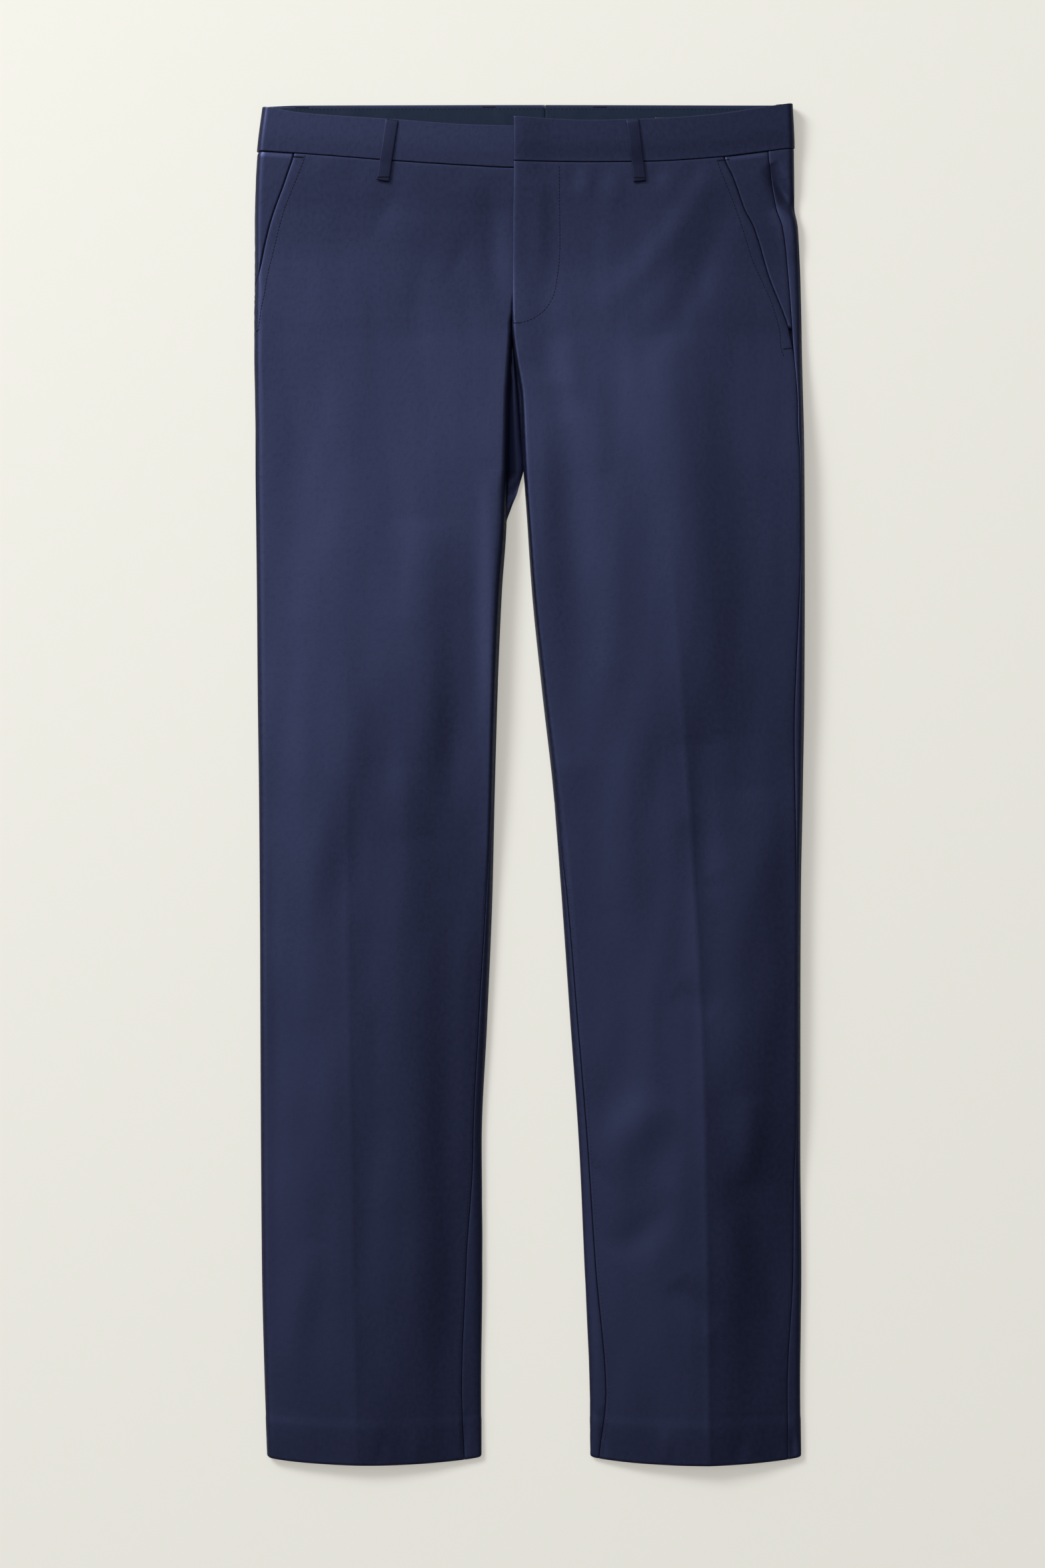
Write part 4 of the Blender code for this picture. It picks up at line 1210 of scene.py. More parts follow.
class Workshop:
    """Makes pieces, dresses them in their finishes and ties them to the frame."""

    corner_angle = 50.0  # degrees past which an edge of a wall is a cut one, to be rounded

    def __init__(self) -> None:
        """Makes the finishes."""
        weave = sateen_effect()
        finishes = (WOOL, LOOPS, LINING, TAPE, SATIN, THREAD_AND_STITCH_SHADE)
        self.materials = {finish.name: finish.material(weave) for finish in finishes}
        self.nickel = Nickel().material()

    def hand_in(self, piece: bpy.types.Object, slot: str, node: str | None = None) -> None:
        """Ties a piece to the frame.

        Args:
            piece: The piece.
            slot: Not used.
            node: The CAD node that it stands for, if any.
        """
        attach(piece, "root")
        if node:
            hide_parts(node)
        LOG.info("%s: %d faces", piece.name, len(piece.data.polygons))

    def new_piece(self, name: str, shape: bmesh.types.BMesh, finish: Finish) -> bpy.types.Object:
        """Makes an object of a finished shape.

        Args:
            name: The object's name.
            shape: Its shape in metres, which is used up.
            finish: Its finish.

        Returns:
            The object.
        """
        mesh = bpy.data.meshes.new(name)
        shape.to_mesh(mesh)
        shape.free()
        mesh.shade_smooth()
        mesh.materials.append(self.materials[finish.name])
        return placed(name, mesh)

    def sheet(
        self, name: str, rows: Sequence[Points], wall: float, finish: Finish, rests_on: Sequence[str] = (),
        tube: bool = False, rounding: float = 0.0, grain: int | None = None,
    ) -> bpy.types.Object:
        """Makes a piece of cloth whose middle surface runs through a grid of points.

        Args:
            name: The CAD node that it stands for.
            rows: The grid in millimetres, row by row.
            wall: Thickness of the cloth.
            finish: Its finish.
            rests_on: Not used.
            tube: Whether its two long edges are joined.
            rounding: How far its cut edges are rounded.
            grain: The column that the warp runs along, where it isn't the middle one.

        Returns:
            The piece.
        """
        rows = np.array(rows)
        count, across = rows.shape[:2]
        grid = bmesh.new()
        bmesh.ops.create_grid(grid, x_segments=across - 1, y_segments=count - 1, size=1.0)
        grid.verts.ensure_lookup_table()
        for vertex, place in zip(grid.verts, rows.reshape(-1, 3) * MM):
            vertex.co = place
        if tube:
            edges = []
            for at in (0, across - 1):
                line = [grid.verts[row * across + at] for row in range(count)]
                edges += [grid.edges.get(pair) for pair in zip(line, line[1:])]
            bmesh.ops.bridge_loops(grid, edges=edges)
        bmesh.ops.recalc_face_normals(grid, faces=grid.faces)
        made = self.new_piece(f"sewn_{name}", grid, finish)
        lay_pattern(made, self.plane_of(rows, across // 2 if grain is None else grain))
        shell = made.modifiers.new("wall", "SOLIDIFY")
        shell.thickness, shell.offset = wall * MM, 0.0
        if rounding:
            edge = made.modifiers.new("edge", "BEVEL")
            edge.width, edge.segments, edge.limit_method = rounding * MM, 2, "ANGLE"
            edge.angle_limit = math.radians(self.corner_angle)
        self.hand_in(made, finish.slot, name)
        return made

    def plane_of(self, rows: Points, grain: int) -> Points:
        """Lays a sheet out flat.

        Args:
            rows: Its grid in millimetres.
            grain: The column that the warp runs along.

        Returns:
            For each vertex, metres across and along the cloth.
        """
        middle = rows[len(rows) // 2]
        across = np.stack([lengths_along(row) for row in rows]) * (1 if middle[-1, 0] > middle[0, 0] else -1)
        across += middle[grain, 0] - across[:, grain : grain + 1]
        return np.stack([across, rows[:, :, 1]], axis=2).reshape(-1, 2) * MM


class Surface:
    """The finished cloth's outside, to lay things on."""

    far = 0.2  # metres above or below the garment from which it is looked for

    def __init__(self, pieces: Sequence[bpy.types.Object]) -> None:
        """Takes the pieces with their walls.

        Args:
            pieces: The pieces of cloth.
        """
        shape = bmesh.new()
        graph = bpy.context.evaluated_depsgraph_get()
        for piece in pieces:
            shape.from_mesh(piece.evaluated_get(graph).to_mesh())
        self.tree = BVHTree.FromBMesh(shape)
        shape.free()

    def meet(self, x: float, down: float, facing: Facing) -> tuple[Vector, Vector] | None:
        """Finds the cloth at one place.

        Args:
            x: The place's X.
            down: Its distance down.
            facing: From which side.

        Returns:
            The point in metres and the direction out of the cloth, or None where there is no cloth.
        """
        away = Vector((0, 0, facing.value))
        start = Vector((x * MM, (TOP - down) * MM, 0)) + away * self.far
        place, normal, _, _ = self.tree.ray_cast(start, -away)
        if place is None:
            return None
        return place, normal if normal.dot(away) > 0 else -normal


@dataclass
class Leg:
    """One half below the band: its front, its back, the hem's turn-up and the slant pocket's facing."""

    form: Form
    shop: Workshop
    front_steps: tuple[int, ...] = (34, 44, 8, 4)  # pocket mouth, crease, inner roll, inner edge, end
    back_steps: tuple[int, ...] = (12, 34, 16)  # inner fold, underside, outer fold
    facing_steps: tuple[int, ...] = (14, 5, 12)  # from the outseam, across the dip and behind the front
    end_row: float = 1.0
    front_row: float = 3.4
    under_row: float = 4.0
    facing_row: float = 2.5
    hem_rows: int = 14
    roll_past: float = 1.0  # how far past the inner roll its columns begin
    knee_clear: float = 3.0  # in widths of the narrow columns, as is the next
    inner_clear: float = 1.5
    turn_run: float = 10.0  # how far from a fold the back's closer columns reach
    sink: float = 0.3  # how far a long edge sinks toward its seam
    waist_sink: float = 0.2
    waist_run: float = 1.0
    hem_step: float = 0.25  # how far the hem stands proud over its turn-up
    step_above: float = 2.0
    step_run: float = 3.5
    hem_roll: float = 0.7  # how far the hem's edge rolls in
    roll_run: float = 1.3
    hem_close: float = 0.4  # how much closer the turn-up is to the outside at the hem's edge
    close_run: float = 3.0
    facing_reach: float = 24.0  # how far the pocket's facing goes on behind the front
    facing_above: float = 3.0
    facing_lift_run: float = 5.0
    facing_dip: float = 1.4  # the run over which it dips under the front
    dip_before: float = 1.0
    dip_least: tuple[float, float] = (2.6, 0.8)  # least widths before the dip and of it

    def __post_init__(self) -> None:
        """Places the seams at the landmarks."""
        self.marks: dict[str, list[float]] = {name: [] for name in ("mouth", "outseam", "crease")}
        for station in LANDMARKS:
            ring = Ring(self.form, float(station))
            insets = {"mouth": self.form.at("mouth", station), "outseam": self.form.at("outseam", station)}
            insets["crease"] = abs(self.form.at("crease", station) - self.form.at("outer", station))
            for name, inset in insets.items():
                self.marks[name].append(ring.place_of(inset) - ring.fold)

    @property
    def label(self) -> str:
        """The half's name in its pieces' names."""
        return self.form.half.label

    def mark(self, name: str, ring: Ring) -> float:
        """Place of a seam or the crease on a ring."""
        return ring.fold + float(curve(LANDMARKS, self.marks[name], ring.down))

    def front_ring(self, station: float) -> Ring:
        """The ring of the front, which reaches behind the fly on the right half.

        Args:
            station: The row.

        Returns:
            The ring.
        """
        if self.form.half is not Half.RIGHT or station > FLY_END:
            return Ring(self.form, station)
        tuck = FLY_TUCK * (1 - float(ease((station - TUCK_FADE) / (FLY_END - TUCK_FADE))))
        return Ring(self.form, station, reach=FLY_EDGE + tuck)

    def front_places(self, ring: Ring) -> Points:
        """Places of the front's columns.

        Args:
            ring: The ring they are on.

        Returns:
            The places, from the pocket mouth or the outseam to the inner end.
        """
        start, crease, end = self.mark("mouth", ring) + JOIN / 2, self.mark("crease", ring), ring.seams()[2]
        across = abs(self.form.at("inner", ring.down) - self.form.at("outer", ring.down))
        roll = float(column(self.form.rises, "roll", ring.down)) + self.roll_past
        knee = min(ring.place_of(across - roll), end - self.knee_clear * NARROW[-1])
        inner = min(ring.place_of(across), end - self.inner_clear * NARROW[-1])
        return spread((start, crease, knee, inner, end), self.front_steps)

    def front_line(self, station: float) -> Cut:
        """The front's line at a station."""
        ring = self.front_ring(station)
        return cut(ring, self.front_places(ring))

    def back_places(self, ring: Ring) -> Points:
        """Places of the back's columns, from the inseam or centre back to the side seam."""
        start, outseam = ring.seams()[0], self.mark("outseam", ring) - JOIN / 2
        return spread((start, self.turn_run, ring.fold - self.turn_run, outseam), self.back_steps)

    def back_line(self, station: float) -> Cut:
        """The back's line at a station."""
        ring = Ring(self.form, station)
        return cut(ring, self.back_places(ring))

    def row_of(
        self, line: Cut, station: float, sinks: tuple[float, float], inward: Points | float = 0.0
    ) -> Points:
        """One row of a panel, with its folds and with its edges sunk toward the seams.

        Args:
            line: The row's line.
            station: The row.
            sinks: How far the panel's two long edges sink.
            inward: How far the row lies behind the cloth's own line.

        Returns:
            Points (x, y, z) in millimetres.
        """
        downs = panel_downs(self.form, station, line.points, line.on_front)
        along = lengths_along(line.points)
        moved = ditch(along, sinks[0]) + ditch(along[-1] - along, sinks[1])
        moved = moved + ditch(np.array(station - BAND_DEPTH), self.waist_sink, self.waist_run)
        moved = moved + self.hem_step * ease((station - LENGTH + HEM_TURN + self.step_above) / self.step_run)
        moved = moved - self.hem_roll * np.clip((station - LENGTH + self.roll_run) / self.roll_run, 0, 1) ** 2
        points = line.points + line.outward * (moved - inward)[:, None]
        points[:, 1] += self.form.relief(line.points, downs, station, line.on_front)
        points = sink_behind_fly(self.form, points, line.on_front, station)
        return in_space(points[:, 0], downs, points[:, 1])

    def panel(
        self, name: str, lines: Callable[[float], Cut], row: float, rests_on: Sequence[str] = (),
        grain: int | None = None,
    ) -> bpy.types.Object:
        """Makes the front or the back panel.

        Args:
            name: The panel's name without the half.
            lines: Gives its line at a station.
            row: Its spacing of rows.
            rests_on: What it lies on.
            grain: The column that the warp runs along, where it isn't the middle one.

        Returns:
            The piece.
        """
        rows = [self.row_of(between(lines, station), station, (self.sink, self.sink))
                for station in stations(BAND_DEPTH, LENGTH, self.end_row, row)]
        return self.shop.sheet(f"{name}_{self.label}", rows, SHELL, WOOL, rests_on, grain=grain)

    def hem(self) -> bpy.types.Object:
        """Makes the hem's turn-up, which runs round inside the leg.

        Returns:
            The piece.
        """
        rows = []
        for station in np.linspace(LENGTH - HEM_TURN, LENGTH, self.hem_rows):
            back, front = self.back_line(station), self.front_line(station)
            line = Cut(*(np.concatenate(parts) for parts in zip(back, front)))
            near = float(ease((station - LENGTH + self.close_run) / self.close_run))
            rows.append(self.row_of(line, station, (0.0, 0.0), HEM_INWARD - self.hem_close * near))
        return self.shop.sheet(f"hem_{self.label}", rows, HEM_WALL, WOOL, (f"back_{self.label}",), tube=True)

    def pocket_facing(self) -> bpy.types.Object:
        """Makes the facing that shows in the pocket's mouth and goes on behind the front.

        Returns:
            The piece.
        """
        rows = []
        for station in (BAND_DEPTH - self.facing_above, *np.arange(BAND_DEPTH, POCKET_END, self.facing_row)):
            ring = self.front_ring(float(station))
            outseam, mouth = self.mark("outseam", ring) + JOIN / 2, self.mark("mouth", ring)
            marks = [outseam, max(mouth - self.facing_dip - self.dip_before, outseam + self.dip_least[0])]
            marks += [max(mouth, marks[-1] + self.dip_least[1]), mouth + self.facing_reach]
            places = spread(marks, self.facing_steps, (True, False))
            inward = POCKET_DROP * ease((places - mouth) / self.facing_dip + 1.0)
            behind_band = 1 - ease((station - BAND_DEPTH + self.facing_above) / self.facing_lift_run)
            inward = inward + BAND_WALL * behind_band
            rows.append(self.row_of(cut(ring, places), float(station), (self.sink, 0.0), inward))
        return self.shop.sheet(f"pocket_facing_{self.label}", rows, SHELL, WOOL, (f"back_{self.label}",))

    def build(self) -> list[bpy.types.Object]:
        """Makes the half's panels.

        Returns:
            Its pieces.
        """
        rests = (f"back_{self.label}", f"pocket_facing_{self.label}")
        crease = self.front_steps[0] + len(NARROW) - 1
        front = self.panel("front", self.front_line, self.front_row, rests, crease)
        back = self.panel("back", self.back_line, self.under_row)
        return [front, back, self.hem(), self.pocket_facing()]


@dataclass
class Waist:
    """The band with its lining and the blank label."""

    shop: Workshop
    steps: tuple[int, ...] = (54, 24, 84)  # along the back, round the side and along the front
    turn: tuple[float, float] = (10.0, 12.0)  # where the side's columns start and end, from its fold
    shares: tuple[float, ...] = (0.0, 0.03, *np.linspace(0.1, 0.9, 11), 0.97, 1.0)  # its rows
    sinks: tuple[float, float] = (0.4, 0.3)
    rounding: float = 0.8
    lining_grid: tuple[int, int] = (70, 16)
    lining_swell: tuple[float, float, float] = (24.0, 30.0, 9.0)
    lining_soft: float = 0.35
    lining_rounding: float = 0.3
    label_place: tuple[float, float, float, float] = (102.7, 126.2, 10.4, 34.0)
    label_grid: tuple[int, int] = (14, 12)
    label_clear: float = 0.5
    label_rounding: float = 0.15

    def band(self, form: Form) -> bpy.types.Object:
        """Makes one half of the band, from centre back round the side to the fly.

        Args:
            form: The half's shape.

        Returns:
            The piece.
        """
        rows = []
        for share in self.shares:
            ring = Ring(form, BAND_DEPTH * share, BAND_WALL, BAND_REACH if form.half is Half.RIGHT else None)
            end = ring.total - JOIN / 2
            marks = (JOIN / 2, ring.fold - self.turn[0], ring.fold + self.turn[1], end)
            places = spread(marks, self.steps)
            on_front, points = ring.on_front(places), ring.sample(places)
            edges = np.where(on_front > 0, form.waist_line(points[:, 0]), back_waist_line(points[:, 0]))
            downs = edges[0] + (edges[1] - edges[0]) * share
            moved = ditch(places, self.sinks[0]) + ditch(end - places, self.sinks[1])
            lift = form.relief(points, downs, ring.down, on_front)
            points = ring.sample(places, -moved)
            points[:, 1] += lift
            points = sink_behind_fly(form, points, on_front, 0.0)
            rows.append(in_space(points[:, 0], downs, points[:, 1]))
        side = form.half.label
        rests = (f"front_{side}", f"back_{side}")
        return self.shop.sheet(f"waistband_{side}", rows, BAND_WALL, WOOL, rests, rounding=self.rounding)

    def lining(self, form: Form) -> bpy.types.Object:
        """Makes the lining on the inside of one half of the back band.

        Args:
            form: The half's shape.

        Returns:
            The piece.
        """
        out, side = form.half.value, form.half.label
        ends = (centre_back(0.0) + out * SEAM / 2, form.at("outer", 0.0) - LINING_SIDE * out)
        x = np.linspace(*ends, self.lining_grid[0])
        top, bottom = back_waist_line(x)
        level = float(column(SECTIONS, "lift", 0.0)) + BAND_WALL + SEAM + THIN_WALL / 2
        rows = []
        for share in np.linspace(0, 1, self.lining_grid[1]):
            downs = top + LINING_TOP + (bottom - top - LINING_TOP - LINING_BOTTOM) * share
            soft = self.lining_soft * drape(x, downs, *self.lining_swell) + raised(LINING_FOLDS, x, downs)
            rows.append(in_space(x, downs, level + np.maximum(soft, 0.0)))
        rests = (f"waistband_{side}",)
        rounding = self.lining_rounding
        return self.shop.sheet(f"waist_lining_{side}", rows, THIN_WALL, LINING, rests, rounding=rounding)

    def label(self) -> bpy.types.Object:
        """Makes the label, which is left blank.

        Returns:
            The piece.
        """
        left, right, top, bottom = self.label_place
        level = float(column(SECTIONS, "lift", 0.0)) + BAND_WALL + 2 * SEAM + THIN_WALL + LABEL_WALL / 2
        x = np.linspace(left, right, self.label_grid[0])
        downs = np.linspace(top, bottom, self.label_grid[1])
        rows = [in_space(x, down, level + self.label_clear) for down in downs]
        rounding = self.label_rounding
        return self.shop.sheet("label", rows, LABEL_WALL, SATIN, ("waist_lining_left",), rounding=rounding)

    def build(self, forms: Sequence[Form]) -> list[bpy.types.Object]:
        """Makes the band, its lining and the label."""
        return [make(form) for form in forms for make in (self.band, self.lining)] + [self.label()]


@dataclass
class Fly:
    """The facing behind the fly and the closed zip with its teeth."""

    form: Form
    shop: Workshop
    wall: float = 1.0
    wall_grid: tuple[int, int] = (20, 44)
    inset: tuple[float, float] = (1.5, 1.0)  # aside from the fly's edge and below the band
    short: float = 6.0  # how much it is shorter than the fly
    rounded: float = 0.38  # share of its length over which it narrows
    tip: float = 0.16
    zip_sides: tuple[float, float] = (6.0, 24.0)
    zip_grid: tuple[int, int] = (16, 44)
    zip_top: float = 56.0
    zip_clear: float = 3.0
    zip_drop: float = 6.1
    teeth_below: float = 26.0
    teeth_x: float = -0.8
    teeth_apart: float = 0.55
    tooth: tuple[float, float, float] = (2.4, 0.75, 0.9)
    tooth_sunk: float = 0.25
    tooth_bevel: float = 0.12
    pitch: float = 1.5

    def facing(self) -> bpy.types.Object:
        """Makes the facing, which narrows along its curved row of stitches.

        Returns:
            The piece.
        """
        rows = []
        top = float(self.form.waist_line(0.0)[1]) + self.inset[1]
        for share in np.linspace(0, 1, self.wall_grid[1]):
            down = top + (FLY_DEPTH - self.short) * share
            past = max((share - (1 - self.rounded)) / self.rounded, 0.0)
            width = FLY_WIDTH * max(math.sqrt(max(1 - past**2, 0.0)), self.tip)
            x = FLY_EDGE + self.inset[0] + np.linspace(0, 1, self.wall_grid[0]) * width
            rows.append(in_space(x, down, front_height(self.form, x, down, CLOTH / 2 + SEAM + self.wall / 2)))
        return self.shop.sheet("fly_facing", rows, self.wall, WOOL, ("zip_tape", "front_right"))

    def zip_heights(self, x: Points, down: float) -> Points:
        """Middle of the zip's tape at these X."""
        below = CLOTH / 2 + SEAM + THIN_WALL / 2 + self.zip_drop
        return front_height(self.form, np.maximum(x, FLY_EDGE), down, below)

    def tape(self) -> bpy.types.Object:
        """Makes the zip's tape.

        Returns:
            The piece.
        """
        x = np.linspace(FLY_EDGE - self.zip_sides[0], FLY_EDGE + self.zip_sides[1], self.zip_grid[0])
        downs = np.linspace(self.zip_top, FLY_END - self.zip_clear, self.zip_grid[1])
        rows = [in_space(x, down, self.zip_heights(x, down)) for down in downs]
        return self.shop.sheet("zip_tape", rows, THIN_WALL, TAPE, ("front_right",))

    def teeth(self) -> bpy.types.Object:
        """Makes the zip's teeth as one joined mesh along the middle of the tape.

        Returns:
            The piece.
        """
        shape = bmesh.new()
        size = Matrix.Diagonal((*(side * MM for side in self.tooth), 1.0))
        above = THIN_WALL / 2 + self.tooth[2] / 2 - self.tooth_sunk
        downs = np.arange(self.zip_top + self.teeth_below, FLY_END - 2 * self.zip_clear, self.pitch)
        for index, down in enumerate(downs):
            x = self.teeth_x + (self.teeth_apart if index % 2 else -self.teeth_apart)
            z = float(self.zip_heights(np.array([x]), float(down))[0]) + above
            place = Matrix.Translation(Vector((x, TOP - float(down), z)) * MM)
            bmesh.ops.create_cube(shape, size=1.0, matrix=place @ size)
        bmesh.ops.bevel(shape, geom=shape.edges[:], offset=self.tooth_bevel * MM, segments=1, affect="EDGES",
                        profile=0.5, material=-1)
        made = self.shop.new_piece("zip_teeth", shape, TAPE)
        made.data.materials[0] = self.shop.nickel
        self.shop.hand_in(made, "metal")
        return made

    def build(self) -> list[bpy.types.Object]:
        """Makes the fly's hidden pieces."""
        return [self.facing(), self.tape(), self.teeth()]


class LoopPlace(NamedTuple):
    """Where one belt loop is sewn: the X of its top, how far its foot is aside, and on which side it lies."""

    name: str
    half: Half
    x: float
    lean: float
    facing: Facing

    @property
    def on_front(self) -> bool:
        """Whether it is on the front band."""
        return self.facing is Facing.FRONT

    @property
    def waist(self) -> float:
        """How far down the band's top edge is there."""
        return float((FORMS[self.half].waist_line(self.x) if self.on_front else back_waist_line(self.x))[0])


LOOP_PLACES = (
    LoopPlace("belt_loop_front_right", Half.RIGHT, -112.0, -7.5, Facing.FRONT),
    LoopPlace("belt_loop_front_left", Half.LEFT, 84.0, 6.0, Facing.FRONT),
    LoopPlace("belt_loop_side_right", Half.RIGHT, -186.0, 0.0, Facing.BACK),
    LoopPlace("belt_loop_back_right", Half.RIGHT, -33.0, 0.0, Facing.BACK),
    LoopPlace("belt_loop_back_left", Half.LEFT, 58.0, 0.0, Facing.BACK),
    LoopPlace("belt_loop_side_left", Half.LEFT, 200.0, 0.0, Facing.BACK),
)


@dataclass
class BeltLoops:
    """The belt loops: narrow folded strips, turned under at the foot and bowed off the band."""

    shop: Workshop
    wall: float = 0.75
    rounding: float = 0.2
    bow: float = 0.9
    crown: float = 0.08
    narrowing: float = 0.04  # how much narrower its middle is
    slant: float = 1.1  # how much its ends follow its lean
    top_sink: float = 0.5
    top_run: float = 0.9
    turn: float = 0.46
    turn_angles: tuple[float, float] = (0.4, 3.14)
    turned: tuple[float, float] = (0.8, 5.0)
    under_height: float = 0.95
    steps: tuple[int, int, int, int] = (30, 6, 6, 11)  # along it, round its foot, along its end and across

    def run(self) -> list[tuple[float, float]]:
        """The strip's line from its top round its foot.

        Returns:
            Points (distance down from its top, depth below its outside).
        """
        length, turn = LOOP_LENGTH, self.turn
        line = [(share * length, 0.0) for share in np.linspace(0, 1, self.steps[0])]
        angles = np.linspace(*self.turn_angles, self.steps[1])
        line += [(length + turn * math.sin(angle), turn * (1 - math.cos(angle))) for angle in angles]
        return line + [(length - back, 2 * turn) for back in np.linspace(*self.turned, self.steps[2])]

    def strip(self, place: LoopPlace) -> bpy.types.Object:
        """Makes one loop.

        Args:
            place: Where it is sewn.

        Returns:
            The piece.
        """
        top, rows = place.waist + LOOP_BELOW_TOP, []
        across = np.linspace(-1, 1, self.steps[3])
        crown = self.crown * (1 - across**2)
        for along, under in self.run():
            bowed = math.sin(math.pi * min(along / LOOP_LENGTH, 1.0))
            middle = place.x + place.lean * along / LOOP_LENGTH
            x = middle + across * LOOP_WIDTH / 2 * (1 - self.narrowing * bowed)
            down = top + along - self.slant * place.lean / LOOP_LENGTH * across * LOOP_WIDTH / 2
            if place.on_front:
                rise = crown + self.bow * bowed - self.top_sink * math.exp(-along / self.top_run)
                outside, station = BAND_WALL / 2 + SEAM + LOOP_WALL / 2, min(along, BAND_DEPTH)
                z = front_height(FORMS[place.half], x, top + along, -outside, station) + rise - under
            else:
                z = self.under_height - crown + under
            rows.append(in_space(x, down, z))
        rests = (f"waistband_{place.half.label}",)
        return self.shop.sheet(place.name, rows, self.wall, LOOPS, rests, rounding=self.rounding)

    def build(self) -> list[bpy.types.Object]:
        """Makes every loop."""
        return [self.strip(place) for place in LOOP_PLACES]


class Seam(NamedTuple):
    """One row of stitches on the front: the points (x, down) that it runs through, the length of a stitch,
    the gap to the next, the thread's width and how proud it stands."""

    name: str
    line: tuple[tuple[float, float], ...]
    stitch: float = 2.5
    gap: float = 0.25
    width: float = 0.62
    proud: float = 0.05


class Tack(NamedTuple):
    """A bar tack: its two ends and how wide its stitches are."""

    name: str
    start: tuple[float, float]
    end: tuple[float, float]
    width: float = 1.6
    facing: Facing = Facing.FRONT


SEAMS = (
    Seam(
        "fly_stitch",
        ((24.2, 51.2), (24.8, 116.1), (20.9, 152.6), (11.2, 170.0), (-6.0, 179.0), (-14.2, 179.7)),
    ),
    Seam(
        "pocket_stitch_left",
        ((152.9, 45.8), (155.1, 52.3), (163.2, 72.5), (169.8, 89.4), (176.3, 109.3), (182.8, 129.2),
         (189.4, 143.6), (200.0, 169.0), (204.6, 188.6), (205.2, 198.9), (207.9, 207.1)),
    ),
    Seam(
        "pocket_stitch_right",
        ((-182.8, 42.5), (-185.0, 49.1), (-189.9, 61.0), (-195.7, 74.7), (-200.3, 86.7), (-204.6, 101.4),
         (-209.6, 121.5), (-213.9, 139.0), (-216.6, 154.8), (-219.4, 167.9), (-221.5, 184.8)),
    ),
)
TACKS = (
    Tack("tack_pocket_left_top", (153.5, 47.0), (163.0, 46.0)),
    Tack("tack_pocket_left_foot", (207.5, 200.5), (214.5, 199.5)),
    Tack("tack_pocket_right_top", (-184.5, 44.5), (-193.0, 44.0)),
    Tack("tack_pocket_right_foot", (-221.0, 184.0), (-223.6, 186.0), 1.2),
    Tack("tack_fly", (-12.8, 179.6), (-7.5, 179.4), 0.9),
)


